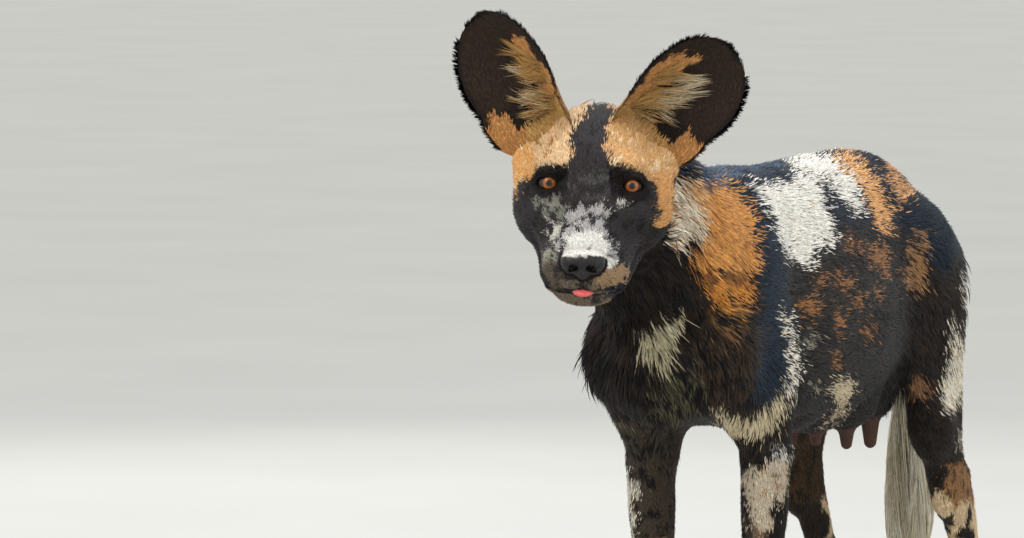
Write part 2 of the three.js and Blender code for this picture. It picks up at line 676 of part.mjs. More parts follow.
// The trunk, with the shoulders and haunches taken out of it, and its stretches of skin
const blocks = ["left", "right"].flatMap((side) => [
  wedge(SIDES[side](SHOULDER_BLOCK)),
  wedge(SIDES[side](HAUNCH_BLOCKS[side])),
]);
const trunk = (made, planes) => blocks.reduce((rest, block) => rest.subtract(block), keepBehind(made, planes));
function withTeats(made, pairs) {
  for (const { place: [x, y, z], swell, drop, thick } of pairs) {
    for (const flip of [1, -1]) {
      const base = z + 8 - swell[2];
      const places = [16, 2, -drop * 0.6, -drop].map((down) => [flip * (x + 2), y + 2, base + down]);
      made = made.add(tube(places, [thick * 1.3, thick, thick * 0.75, thick * 0.4], 6));
    }
  }
  return made;
}
const torso = stock(null, bodyWithTail, [-130, 130], [-110, 690], [270, 690], [12, 14, 12], 0.115);
place("neck", keepBehind(
  stock(null, skin, [-110, 110], [-220, 60], [420, 730], [12, 12, 12], 0.24),
  [opposite(HEAD_NECK), NECK_CHEST],
), TAN_COAT);
place("chest", trunk(torso, [opposite(NECK_CHEST), CHEST_BELLY, ELBOW_CUT]), BLACK_COAT);
place("belly", trunk(
  withTeats(stock(null, skin, [-130, 130], [160, 470], [280, 690], [11, 13, 11], 0.1), TEATS.slice(0, 3)),
  [opposite(CHEST_BELLY), BELLY_HIPS, TEATS_END],
), DARK_COAT);
place("hips", trunk(
  withTeats(torso, TEATS.slice(3)),
  [opposite(BELLY_HIPS), HIPS_TAIL, TEATS_END],
), BLACK_COAT);

// The tail
place("tail_root", keepBehind(
  stock(null, bodyWithTail, [-50, 50], [600, 700], [370, 600], [7, 7, 8], 0.25),
  [opposite(HIPS_TAIL), ROOT_BRUSH],
), BLACK_COAT);
place("tail_brush", keepBehind(brushLocks(), [opposite(ROOT_BRUSH)]), WHITE_COAT);

// The legs
for (const side of ["left", "right"]) {
  const own = SIDES[side];
  const lower = own([LEFT_ONLY]);
  place(`shoulder_${side}`, keepBehind(
    stock(side, skin, [20, 130], [-110, 160], [320, 650], [10, 10, 11], 0.16),
    [...own(SHOULDER_BLOCK), ELBOW_CUT],
  ), BLACK_COAT);
  place(`forearm_${side}`, keepBehind(
    stock(side, skin, [20, 120], [20, 150], [110, 350], [8, 8, 10], 0.25),
    [...lower, opposite(ELBOW_CUT), WRIST_CUT],
  ), DARK_COAT);
  place(`thigh_${side}`, keepBehind(
    stock(side, skin, [20, 130], [370, 690], [280, 630], [10, 10, 11], 0.16),
    [...own(HAUNCH_BLOCKS[side]), KNEE_CUT],
  ), BLACK_COAT);
  place(`gaskin_${side}`, keepBehind(
    stock(side, skin, [20, 130], [400, 700], [130, 320], [8, 8, 10], 0.25),
    [...lower, opposite(KNEE_CUT), HOCK_CUT],
  ), DARK_COAT);
  for (const [end, { knuckle }, cut, size] of [
    ["fore", FORELEGS[side], WRIST_CUT, PAW.fore],
    ["hind", HINDLEGS[side], HOCK_CUT, PAW.hind],
  ]) {
    const [, y] = knuckle;
    const shape = stock(side, skin, [10, 115], [y - 75, y + 80], [-20, 170], [5.2, 5.2, 6.5], 0.12);
    const toes = toesOf(knuckle, size).map((toe) => {
      const there = { ...toe };
      for (const key of ["joint", "tip"]) there[key] = side === "left" ? toe[key] : [-toe[key][0], ...toe[key].slice(1)];
      return there;
    });
    const whole = ontoFloor(keepBehind(shape, [...lower, opposite(cut)]));
    place(`${end}_paw_${side}`, toes.reduce((rest, toe) => rest.subtract(clawOf(toe, 0.3)), whole), DARK_COAT);
    toes.forEach((toe, n) => place(`${end}_claw_${side}_${n + 1}`, clawOf(toe, 0), CLAW_HORN));
  }
}

// The head and what is set on it are made in the head's own frame, as forward, left and up
const headGroup = new THREE.Group();
headGroup.applyMatrix4(
  new THREE.Matrix4().makeBasis(...HEAD_AXES.map((axis) => new THREE.Vector3(...axis))).setPosition(...EYE_LINE),
);
dog.add(headGroup);
const inHead = ([point, out]) => [toHead(point), HEAD_AXES.map((axis) => dot(out, axis))];
const ball = (centre, radii, around = 20) =>
  fromGeometry(
    new THREE.SphereGeometry(1, around, Math.round(around * 0.7)).scale(...radii).translate(...centre),
  );

// The ears: cupped shells, deep at the root and open towards the front
const EAR_AIMS = {
  left: { along: [-0.34, 0.67, 0.62], opening: [0.78, 0.3, 0.2], set: [0, -3, 0], length: 116, wider: 0.65 },
  right: { along: [-0.42, -0.58, 0.76], opening: [0.72, -0.44, 0.2], set: [0, -3, 4], length: 125, wider: 1.05 },
};
function ear(side) {
  const flip = side === "left" ? 1 : -1;
  const tall = unit(EAR_AIMS[side].along);
  const opening = unit(sub(EAR_AIMS[side].opening, times(tall, dot(EAR_AIMS[side].opening, tall))));
  const outer = times(cross(tall, opening), flip);
  const root = add([EAR.root[0], EAR.root[1] * flip, EAR.root[2]], EAR_AIMS[side].set);
  const rows = [-0.26, -0.21, -0.13, 0, 0.12, 0.24, 0.38, 0.54, 0.68, 0.79, 0.88, 0.95, 0.99];
  const columns = 10;
  const points = [];
  for (const layer of [0, 1]) {
    for (const t of rows) {
      const bow = radians(along(EAR_BOW, clamp(t, EAR_BOW[0][0], 1))[1]);
      for (let k = 0; k <= columns; k++) {
        const v = (2 * k) / columns - 1; // from the inner rim to the outer rim
        const narrow = 1 - 0.14 * clamp(v, 0, 1) * clamp((0.5 - t) / 0.4, 0, 1);
        const radius = (EAR.halfWidth * earOutline(t) * narrow) / Math.sin(bow);
        const lobe = EAR.lobe * clamp(2 * v - 1, 0, 1) * clamp(1 - ((t - 0.08) / 0.17) ** 2, 0, 1);
        const inner = EAR_AIMS[side].wider * along(EAR_INNER, clamp(t, EAR_INNER[0][0], 1))[1] * clamp(-v, 0, 1) ** 1.5;
        const thick = layer * EAR.thickness * (1 - 0.5 * v * v) * (1 - 0.35 * clamp(t, 0, 1));
        const r = radius + thick;
        const sideways = r * Math.sin(bow * v) + lobe - inner;
        const forward = radius - r * Math.cos(bow * v);
        const rise = t * EAR_AIMS[side].length;
        points.push(add(root, add(times(tall, rise), add(times(outer, sideways), times(opening, forward)))));
      }
    }
  }
  const ring = columns + 1;
  const other = rows.length * ring;
  const faces = [];
  const quad = (a, b, c, d) => faces.push(a, b, c, a, c, d);
  for (let i = 0; i + 1 < rows.length; i++) {
    for (let k = 0; k < columns; k++) {
      const a = i * ring + k;
      quad(a, a + 1, a + 1 + ring, a + ring);
      quad(other + a, other + a + ring, other + a + 1 + ring, other + a + 1);
    }
    for (const [k, turn] of [[0, 1], [columns, 0]]) {
      const a = i * ring + k;
      if (turn) quad(a, a + ring, other + a + ring, other + a);
      else quad(a, other + a, other + a + ring, a + ring);
    }
  }
  for (let k = 0; k < columns; k++) {
    quad(k, other + k, other + k + 1, k + 1);
    const a = (rows.length - 1) * ring + k;
    quad(a, a + 1, other + a + 1, other + a);
  }
  return outward(points, faces);
}
// How far each half bends round the hollow, in degrees, and how much wider the inner half is
const EAR_BOW = [[-0.25, 80], [0, 84], [0.15, 76], [0.35, 60], [0.6, 44], [1, 26]];
const EAR_INNER = [[-0.25, 12], [0.1, 14], [0.4, 12], [0.65, 5], [0.9, 0], [1, 0]];
function earOutline(t) {
  if (t < 0) return 0.84 * Math.sqrt(1 - (t / 0.28) ** 2);
  if (t < 0.5) return mix(0.84, 1, Math.sin((t / 0.5) * (Math.PI / 2)));
  return (1 - ((t - 0.5) / 0.5) ** 2.3) ** (1 / 2.1);
}

// The eyes: balls behind lids that are cut to an almond
const GAZE = unit([0.85, 0.2, 0.48]);
function lidOpening(flip) {
  const out = [GAZE[0], GAZE[1] * flip, GAZE[2]];
  const level = unit(cross([0, 0, 1], out));
  const tall = cross(out, level);
  const tilt = radians(-8) * flip;
  const across = add(times(level, Math.cos(tilt)), times(tall, Math.sin(tilt)));
  const up = cross(out, across);
  const shape = new THREE.Shape();
  shape.moveTo(-12, -1);
  shape.quadraticCurveTo(-3, 14, 11.5, 0.5);
  shape.quadraticCurveTo(1, -12, -12, -1);
  const prism = new THREE.ExtrudeGeometry(shape, { depth: 40, bevelEnabled: false, curveSegments: 6 });
  const frame = new THREE.Matrix4()
    .makeBasis(new THREE.Vector3(...across), new THREE.Vector3(...up), new THREE.Vector3(...out))
    .setPosition(EYE[0], EYE[1] * flip, EYE[2]);
  return fromGeometry(prism.applyMatrix4(frame));
}

// The nose, in the head's frame with both sides alike
function nosePad([forward, side, up]) {
  const q = [Math.abs(side), forward, up];
  let d = ellipsoid(q, [0, 94, -30], [19, 13, 12.5]);
  d = soft(d, ellipsoid(q, [12, 94, -31], [10, 12, 11]), 5);
  return soft(d, ellipsoid(q, [0, 95, -42], [8, 8, 8]), 6);
}
const nostrils = () =>
  [1, -1].flatMap((flip) => [
    ball([107, 8.5 * flip, -31.5], [8, 5, 4.6], 10),
    ball([103, 16 * flip, -34], [8, 6.5, 2], 10),
  ]);
const noseSolid = surfaceOf(nosePad, [68, -28, -58], [112, 28, -10], [3, 3, 3], 0.14);

// The head with its sockets, mouth and nostrils
const headFlesh = (v) => skin(fromHead(v));
const headSkin = surfaceOf(headFlesh, [-190, -110, -120], [125, 110, 110], [6, 6, 6], 0.115);
const mouthCore = surfaceOf((v) => headFlesh(v) + 5.5, [0, -60, -110], [125, 60, -30], [8, 8, 8], 0.6);
const mouthPlate = fromGeometry(
  new THREE.BoxGeometry(120, 140, 2.4).rotateY(0.045).translate(74, 0, -62.5),
);
const tongueAt = [95, 0, -62.5];
const tongueSize = [10, 11, 4.2];
const eyeAt = (flip) => [EYE[0], EYE[1] * flip, EYE[2]];

// The lips: a rolled edge above and below the mouth, laid on the head's surface
function lip(up, thick) {
  const places = Array.from({ length: 17 }, (_, n) => {
    const turn = radians(-100 + (200 * n) / 16);
    const from = [52, 0, up + 0.05 * (52 - 52 * Math.cos(turn))];
    const out = [Math.cos(turn), Math.sin(turn), 0];
    let [near, far] = [0, 90];
    while (far - near > 0.05) {
      const half = (near + far) / 2;
      if (headFlesh(add(from, times(out, half))) < 0) near = half;
      else far = half;
    }
    return add(from, times(out, near - 1.2));
  });
  const widths = places.map((_, n) => thick * (n % 16 ? 1 : 0.3));
  return tube(places, widths, 6, [0, 0, 1]);
}

let skull = headSkin.add(lip(-58.6, 3.2)).add(lip(-66, 2.8));
for (const flip of [1, -1]) skull = skull.add(ball(eyeAt(flip), [15.2, 15.2, 15.2], 14));
for (const flip of [1, -1]) {
  const room = EYE_RADIUS + SEAM;
  skull = skull.subtract(ball(eyeAt(flip), [room, room, room], 14)).subtract(lidOpening(flip));
}
skull = skull.subtract(swollen(noseSolid, SEAM));
skull = skull.subtract(mouthPlate.subtract(mouthCore));
skull = skull.subtract(ball(tongueAt, tongueSize.map((r) => r + SEAM), 12));
place("head", keepBehind(skull, [inHead(HEAD_NECK)]), DARK_COAT, headGroup);
place("nose", nostrils().reduce((rest, pit) => rest.subtract(pit), noseSolid), NOSE_BLACK, headGroup);
place("tongue", ball(tongueAt, tongueSize, 12), TONGUE_PINK, headGroup);
for (const [side, flip] of [["left", 1], ["right", -1]]) {
  const size = [EYE_RADIUS, EYE_RADIUS, EYE_RADIUS];
  place(`eye_${side}`, ball(eyeAt(flip), size, 14), EYE_AMBER, headGroup);
  place(`ear_${side}`, ear(side).subtract(swollen(headSkin, SEAM)), EAR_COAT, headGroup);
}

// The origin goes to the floor under the middle of the animal
const bounds = new THREE.Box3().setFromObject(dog, true);
dog.position.set(-(bounds.min.x + bounds.max.x) / 2, -(bounds.min.y + bounds.max.y) / 2, -bounds.min.z);

export default dog;
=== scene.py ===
"""The looks of a life-size African wild dog: one skin under a coat of mesh tufts, ears, eyes, nose, claws."""

import math

import bmesh
import bpy
import numpy as np
from mathutils import Matrix, Vector


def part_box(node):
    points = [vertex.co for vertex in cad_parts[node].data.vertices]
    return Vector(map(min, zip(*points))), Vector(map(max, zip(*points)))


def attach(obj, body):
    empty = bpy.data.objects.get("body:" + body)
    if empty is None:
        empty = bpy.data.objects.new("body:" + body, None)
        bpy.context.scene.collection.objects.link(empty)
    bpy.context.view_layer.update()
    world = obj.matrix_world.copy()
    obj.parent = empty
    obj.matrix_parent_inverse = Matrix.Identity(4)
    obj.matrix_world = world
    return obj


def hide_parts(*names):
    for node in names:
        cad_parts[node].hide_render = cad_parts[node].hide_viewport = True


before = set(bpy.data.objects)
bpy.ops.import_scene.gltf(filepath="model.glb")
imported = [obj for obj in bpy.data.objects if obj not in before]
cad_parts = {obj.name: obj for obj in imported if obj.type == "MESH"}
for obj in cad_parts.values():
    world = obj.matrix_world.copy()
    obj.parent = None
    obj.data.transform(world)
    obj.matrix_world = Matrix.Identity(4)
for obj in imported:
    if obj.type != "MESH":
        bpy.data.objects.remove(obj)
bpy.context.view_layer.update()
RANDOM = np.random.default_rng(11)

# Measures in millimetres, in the frame that the solids are modelled in
EYE_LINE = np.array([16.0, -241.0, 648.0])
HEAD_TURN, HEAD_DIP, HEAD_ROLL = 19.0, 27.0, 2.0
EYE = np.array([1.8, 41.0, 3.3])
EYE_RADIUS = 12.5
GAZE = np.array([0.85, 0.2, 0.48]) / np.linalg.norm([0.85, 0.2, 0.48])
EAR_ROOT = np.array([-92.0, 52.0, 15.0])
EAR_HALF, EAR_THICK, EAR_LOBE = 49.0, 5.0, 6.0
EAR_AIMS = {
    "left": ([-0.34, 0.67, 0.62], [0.78, 0.3, 0.2], [0, -3, 0], 116, 0.65),
    "right": ([-0.42, -0.58, 0.76], [0.72, -0.44, 0.2], [0, -3, 4], 125, 1.05),
}
EAR_INNER = np.array([[-0.25, 12], [0.1, 14], [0.4, 12], [0.65, 5], [0.9, 0], [1, 0]], float)
EAR_BOW = np.array([[-0.25, 80], [0, 84], [0.15, 76], [0.35, 60], [0.6, 44], [1, 26]], float)
PAW = {"fore": (64, 88), "hind": (56, 80)}
FORELEGS = {
    1: {"shoulder": [60, -16, 462], "elbow": [73, 72, 360], "wrist": [64, 72, 162], "knuckle": [62, 56, 46]},
    -1: {"shoulder": [56, -16, 464], "elbow": [63, 88, 352], "wrist": [58, 96, 160], "knuckle": [57, 80, 46]},
}
HINDLEGS = {
    1: {"hip": [54, 526, 520], "knee": [84, 504, 342], "hock": [73, 642, 180], "knuckle": [70, 612, 44]},
    -1: {"hip": [54, 520, 520], "knee": [80, 464, 344], "hock": [72, 576, 184], "knuckle": [69, 548, 44]},
}
TRUNK = np.array([
    [-60, 508, 424, 34], [-35, 568, 406, 56], [10, 616, 394, 72], [60, 642, 388, 80], [120, 648, 382, 87],
    [200, 644, 372, 94], [280, 645, 365, 95], [350, 648, 366, 91], [402, 649, 374, 85], [446, 650, 388, 80],
    [498, 645, 408, 78], [550, 628, 434, 70], [594, 598, 462, 56], [626, 564, 488, 36]], float)
NECK = [([0, 40, 540], 98, 80), ([0, -28, 574], 88, 70), ([-3, -86, 612], 72, 60), ([-6, -138, 646], 62, 54)]
TAIL = [([0, 598, 560], 24), ([0, 646, 516], 17), ([-2, 666, 450], 14), ([-4, 671, 370], 13),
        ([-6, 672, 280], 11), ([-7, 670, 200], 6)]
MUZZLE = np.array([[-12, 26, -60, 58], [8, 17, -62, 51], [28, 4, -64, 44], [52, -7, -66, 39],
                   [76, -14, -66, 35], [91, -20, -65, 27]], float)
JAW = np.array([[-55, -40, -84, 50], [-15, -48, -90, 46], [18, -56, -90, 40], [50, -60, -88, 33],
                [82, -62, -84, 25]], float)
TEATS = [((27, 230, 380), (24, 34, 16), 12, 6), ((29, 306, 374), (28, 38, 20), 14, 7),
         ((30, 388, 376), (31, 42, 28), 17, 9), ((30, 456, 384), (28, 36, 32), 25, 10)]


def unit(v):
    v = np.asarray(v, float)
    return v / np.maximum(np.linalg.norm(v, axis=-1, keepdims=True), 1e-9)


def smooth(low, high, value):
    t = np.clip((value - low) / (high - low), 0, 1)
    return t * t * (3 - 2 * t)


def head_axes():
    turn, dip, roll = (math.radians(a) for a in (HEAD_TURN, HEAD_DIP, HEAD_ROLL))
    forward = np.array([math.sin(turn) * math.cos(dip), -math.cos(turn) * math.cos(dip), -math.sin(dip)])
    level = np.array([math.cos(turn), math.sin(turn), 0])
    upright = np.cross(forward, level)
    left = level * math.cos(roll) - upright * math.sin(roll)
    up = upright * math.cos(roll) + level * math.sin(roll)
    return np.array([forward, left, up])


AXES = head_axes()


def to_head(p):
    return (p - EYE_LINE) @ AXES.T


def from_head(v):
    return EYE_LINE + np.asarray(v, float) @ AXES


# The shift from the modelling frame to the row frame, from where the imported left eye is
low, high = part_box("eye_left")
SHIFT = (np.array(low) + np.array(high)) * 500 - from_head(EYE)


def to_scene(p):
    return (np.asarray(p) + SHIFT) / 1000


# Distances in millimetres, negative inside, for many points at once
def soft(a, b, k):
    return np.minimum(a, b) - np.maximum(k - np.abs(a - b), 0) ** 2 / (4 * k)


def cut(a, b, k):
    return -soft(-a, b, k)


def along(table, t):
    i = np.clip(np.searchsorted(table[:, 0], t) - 1, 0, len(table) - 2)
    a, b, c, d = (table[np.clip(i + j, 0, len(table) - 1)] for j in (-1, 0, 1, 2))
    span = (c[:, 0] - b[:, 0])[:, None]
    u = np.clip((t - b[:, 0])[:, None] / span, 0, 1)
    into = (c - a) / (c[:, :1] - a[:, :1]) * span
    out = (d - b) / (d[:, :1] - b[:, :1]) * span
    rise = c - b
    return b + u * (into + u * (3 * rise - 2 * into - out + u * (into + out - 2 * rise)))


def ellipsoid(p, centre, radii, tilt=0.0):
    x, y, z = (p - np.asarray(centre, float)).T
    c, s = math.cos(math.radians(tilt)), math.sin(math.radians(tilt))
    q = np.stack([x, y * c + z * s, z * c - y * s], 1)
    r = np.asarray(radii, float)
    near = np.linalg.norm(q / r, axis=1)
    steep = np.linalg.norm(q / (r * r), axis=1)
    return near * (near - 1) / np.maximum(steep, 1e-9)


def rod(p, a, b, ra, rb, across=1.0):
    a, b = np.asarray(a, float), np.asarray(b, float)
    d, q = b - a, p - a
    h = np.clip(q @ d / (d @ d), 0, 1)
    off = q - h[:, None] * d
    off[:, 0] /= across
    return np.linalg.norm(off, axis=1) - (ra + (rb - ra) * h)


def lofted(side, length, height, table, narrow, square, cap):
    at = np.clip(length, table[0, 0], table[-1, 0])
    _, top, under, half = along(table, at).T
    rise = (2 * height - top - under) / (top - under)
    width = half * (1 - narrow * np.clip(rise, -1, 1))
    ring = (np.abs(side / width) ** square + np.abs(rise) ** square) ** (1 / square)
    return (np.hypot(ring, (length - at) / cap) - 1) * np.minimum(half, (top - under) / 2)


def head(v):
    forward, side, up = v.T
    q = np.stack([np.abs(side), forward, up], 1)
    d = soft(ellipsoid(q, [0, -62, 2], [54, 60, 41]), ellipsoid(q, [0, -18, 8], [45, 44, 30]), 26)
    d = soft(d, ellipsoid(q, [43, -34, -33], [33, 50, 47]), 24)
    d = soft(d, rod(q, [42, 22, -16], [64, -50, -6], 12, 15), 16)
    d = soft(d, ellipsoid(q, [33, -3, 15], [16, 19, 12]), 14)
    d = soft(d, lofted(side, forward, up, MUZZLE, 0.24, 2.5, 10), 20)
    d = soft(d, lofted(side, forward, up, JAW, -0.2, 2.4, 9), 9)
    d = soft(d, ellipsoid(q, [0, -72, -50], [46, 42, 40]), 26)
    return cut(d, ellipsoid(q, [54, -72, 24], [15, 17, 18]), 8)


def foreleg(p, leg):
    s, e, w, k = (np.array(leg[n], float) for n in ("shoulder", "elbow", "wrist", "knuckle"))
    d = soft(ellipsoid(p, [54, 58, 545], [25, 50, 98], -14),
             ellipsoid(p, s + [0, 2, 4], [24, 36, 46], -30), 30)
    d = soft(d, rod(p, s, e, 36, 25, 0.74), 22)
    d = soft(d, ellipsoid(p, e + [-4, 4, 70], [25, 40, 80], 14), 22)
    d = soft(d, ellipsoid(p, e + [-2, 24, 6], [11, 14, 16]), 14)
    d = soft(d, rod(p, e + [0, -2, -10], w, 25, 17, 0.88), 18)
    d = soft(d, ellipsoid(p, e + [0, -4, -48], [19, 25, 58], 2), 14)
    d = soft(d, ellipsoid(p, w, [18, 19, 23]), 10)
    return soft(d, rod(p, w, k, 16, 16, 1.12), 10)


def hindleg(p, leg):
    hip, knee, hock, k = (np.array(leg[n], float) for n in ("hip", "knee", "hock", "knuckle"))
    mid = knee * 0.55 + hock * 0.45
    d = soft(ellipsoid(p, hip + [4, 4, -14], [36, 72, 90], 24),
             rod(p, hip + [4, 6, -30], knee + [-6, 20, 14], 74, 36, 0.46), 40)
    d = soft(d, rod(p, hip + [4, 62, -10], mid, 42, 24, 0.56), 26)
    d = soft(d, ellipsoid(p, knee + [-2, 4, 8], [22, 24, 34], 24), 18)
    d = soft(d, rod(p, knee + [-4, 32, -6], hock + [0, -4, 12], 27, 14, 0.7), 22)
    d = soft(d, rod(p, mid + [0, 34, 18], hock + [0, 20, 10], 14, 9, 0.8), 20)
    d = soft(d, ellipsoid(p, hock + [0, 17, 10], [12, 13, 18], -10), 10)
    d = soft(d, ellipsoid(p, hock, [18, 21, 24]), 12)
    return soft(d, rod(p, hock, k, 17, 15.5, 1.06), 12)


def toes_of(knuckle, size):
    width, length = size
    x, y = knuckle[:2]
    toes = []
    for place in (-1.5, -0.5, 0.5, 1.5):
        reach = length * (0.6 if abs(place) < 1 else 0.44)
        toes.append(([x + place * width * 0.17, y - 4, 34], [x + place * width * 0.225, y - reach * 0.62, 26],
                     [x + place * width * 0.245, y - reach, 11], width * 0.137))
    return toes


def paw(p, k, size):
    width, length = size
    d = soft(ellipsoid(p, [k[0], k[1] + 2, 14], [width * 0.36, length * 0.26, 17]),
             ellipsoid(p, [k[0], k[1] - 6, 36], [width * 0.33, length * 0.24, 20]), 12)
    for root, joint, tip, r in toes_of(k, size):
        d = soft(d, soft(rod(p, root, joint, r, r), rod(p, joint, tip, r, r), 5), 2.5)
    return d


def blended(d, mask, part, k):
    """Adds a part to d where the mask says that it can matter."""
    if mask.any():
        d[mask] = soft(d[mask], part(mask), k)
    return d


def flesh(p):
    x, y, z = p.T
    mirror = np.stack([np.abs(x), y, z], 1)
    d = np.full(len(p), 400.0)
    mask = (z > 250) & (y > -170)
    d[mask] = lofted(x[mask], y[mask], z[mask], TRUNK, 0.2, 2.25, 26)
    d = blended(d, (y < 60) & (z > 340), lambda m: ellipsoid(p[m], [0, -38, 462], [44, 34, 52]), 34)
    for (a, ra, wa), (b, rb, _) in zip(NECK, NECK[1:]):
        d = blended(d, (y < 190) & (z > 380), lambda m: rod(p[m], a, b, ra, rb, wa / ra), 30)
    for flip in (1, -1):
        own = x * flip > -6
        d = blended(d, own & (y < 230) & (y > -110), lambda m: foreleg(mirror[m], FORELEGS[flip]), 26)
        d = blended(d, own & (y > 330), lambda m: hindleg(mirror[m], HINDLEGS[flip]), 26)
        for leg, size in ((FORELEGS[flip], PAW["fore"]), (HINDLEGS[flip], PAW["hind"])):
            k = leg["knuckle"]
            near = own & (z < 110) & (np.abs(y - k[1]) < 110)
            d = blended(d, near, lambda m: paw(mirror[m], k, size), 9)
    for place, swell, _, _ in TEATS:
        near = (z < 460) & (z > 290) & (np.abs(y - place[1]) < 90)
        d = blended(d, near, lambda m: ellipsoid(mirror[m], np.array(place) + [0, 0, 8], swell), 18)
    near = np.linalg.norm(p - from_head([-20, 0, -20]), axis=1) < 220
    return blended(d, near, lambda m: head(to_head(p[m])), 22)


# Frame of one eye, with the right eye mirrored onto the left
EYE_ACROSS = unit(np.cross([0, 0, 1], GAZE))
EYE_TALL = np.cross(GAZE, EYE_ACROSS)
turn = math.radians(-8)
EYE_ACROSS, EYE_TALL = (EYE_ACROSS * math.cos(turn) + EYE_TALL * math.sin(turn),
                        EYE_TALL * math.cos(turn) - EYE_ACROSS * math.sin(turn))


# The opening between the lids: half its width, its height above and below, and the ball of the lids
LID_HALF, LID_UPPER, LID_LOWER, LID_BALL = 10.4, 6.4, 5.6, 14.3


def lid_gap(v):
    """How far a point of the head is from the opening between the lids, negative inside it."""
    rel = np.stack([v[:, 0], np.abs(v[:, 1]), v[:, 2]], 1) - EYE
    u, w, depth = rel @ EYE_ACROSS, rel @ EYE_TALL, rel @ GAZE
    bow = np.sqrt(np.clip(1 - (u / LID_HALF) ** 2, 0, 1))
    gap = np.maximum(w - LID_UPPER * bow, -LID_LOWER * bow - w)
    gap = np.where(np.abs(u) > LID_HALF, np.hypot(np.abs(u) - LID_HALF, w), gap)
    return gap, depth, np.linalg.norm(rel, axis=1), w


# The line of the mouth, at its level below the eyes, with a slight slope
MOUTH_LEVEL, MOUTH_SLOPE, MOUTH_FRONT = 62.5, 0.045, 74


def mouth_height(v):
    return v[:, 2] + MOUTH_LEVEL + MOUTH_SLOPE * (v[:, 0] - MOUTH_FRONT)


def face_depth(v):
    """1 on the muzzle and round the eyes, where the coat is shortest, 0 behind the cheeks."""
    return smooth(-75, -5, v[:, 0])


def skin_field(p):
    x, y, z = p.T
    d = flesh(p)
    near = (y > 540) & (z > 150)
    if near.any():
        tail = np.full(near.sum(), 400.0)
        for (a, ra), (b, rb) in zip(TAIL, TAIL[1:]):
            tail = soft(tail, rod(p[near], a, b, ra, rb), 10)
        d[near] = soft(d[near], tail, 12)
    for place, swell, drop, thick in TEATS:
        base = np.array(place) + [2, 2, 8 - swell[2]]
        near = (z < base[2] + 30) & (z > 280) & (np.abs(y - place[1]) < 40)
        if near.any():
            mirror = np.stack([np.abs(x[near]), y[near], z[near]], 1)
            teat = rod(mirror, base + [0, 0, 12], base - [0, 0, drop], thick * 1.15, thick * 0.62)
            d[near] = soft(d[near], teat, 7)
    d = d - 0.6 * np.clip((z - 40) / 100, 0, 1)
    near = np.linalg.norm(p - from_head([10, 0, -20]), axis=1) < 150
    if near.any():
        v = to_head(p[near])
        h = d[near] - 1.8 * face_depth(v)
        gap, depth, r, w = lid_gap(v)
        h = soft(h, r - LID_BALL, 4)
        h = h + 0.9 * np.exp(-((gap - 4.6) / 1.3) ** 2) * (w > 0) * (r < 22)
        h = np.where(r < 34, cut(h, np.maximum(gap - 1.1 * np.maximum(r - 14.4, 0), 3 - depth), 1.2), h)
        m = mouth_height(v)
        lips = smooth(12, 30, v[:, 0]) * (h < 8)
        h = h - lips * (2.0 * np.exp(-((m - 3.6) / 2.6) ** 2) + 1.6 * np.exp(-((m + 3.4) / 2.4) ** 2))
        h = h + np.exp(-(v[:, 1] / 1.3) ** 2) * smooth(80, 90, v[:, 0]) * smooth(2, 5, m)
        slit = np.maximum(np.abs(m) - 1.1, 12 - v[:, 0])
        h = cut(h, np.maximum(slit, -h - 6), 1.0)
        d[near] = np.maximum(h, -3 - nose_pad(v))
    return d


def nose_pad(v):
    q = np.stack([np.abs(v[:, 1]), v[:, 0], v[:, 2]], 1)
    d = ellipsoid(q, [0, 94, -30], [19, 13, 12.5])
    d = soft(d, ellipsoid(q, [12, 94, -31], [10, 12, 11]), 5)
    return soft(d, ellipsoid(q, [0, 95, -42], [8, 8, 8]), 6)


def nose_field(p):
    v = to_head(p)
    q = np.stack([np.abs(v[:, 1]), v[:, 0], v[:, 2]], 1)
    d = nose_pad(v)
    d = cut(d, ellipsoid(q, [8.5, 107, -31.5], [4.8, 9, 4.4]), 2)
    d = cut(d, rod(q, [10, 104, -33.5], [19, 100, -36], 2.4, 1.2), 1.5)
    groove = np.exp(-(q[:, 0] / 1.0) ** 2) * smooth(100, 104, q[:, 1])
    return d + 0.9 * groove


def gradient(field, p, h=0.4):
    g = np.empty_like(p)
    for n in range(3):
        step = np.zeros(3)
        step[n] = h
        g[:, n] = (field(p + step) - field(p - step)) / (2 * h)
    return g


def settled(field, p, rounds=3, most=3.0):
    """Moves points onto the field's surface."""
    for _ in range(rounds):
        g = gradient(field, p)
        size = np.maximum((g * g).sum(1), 0.05)
        move = -g * (field(p) / size)[:, None]
        length = np.linalg.norm(move, axis=1, keepdims=True)
        p = p + move * np.minimum(1, most / np.maximum(length, 1e-9))
    return p


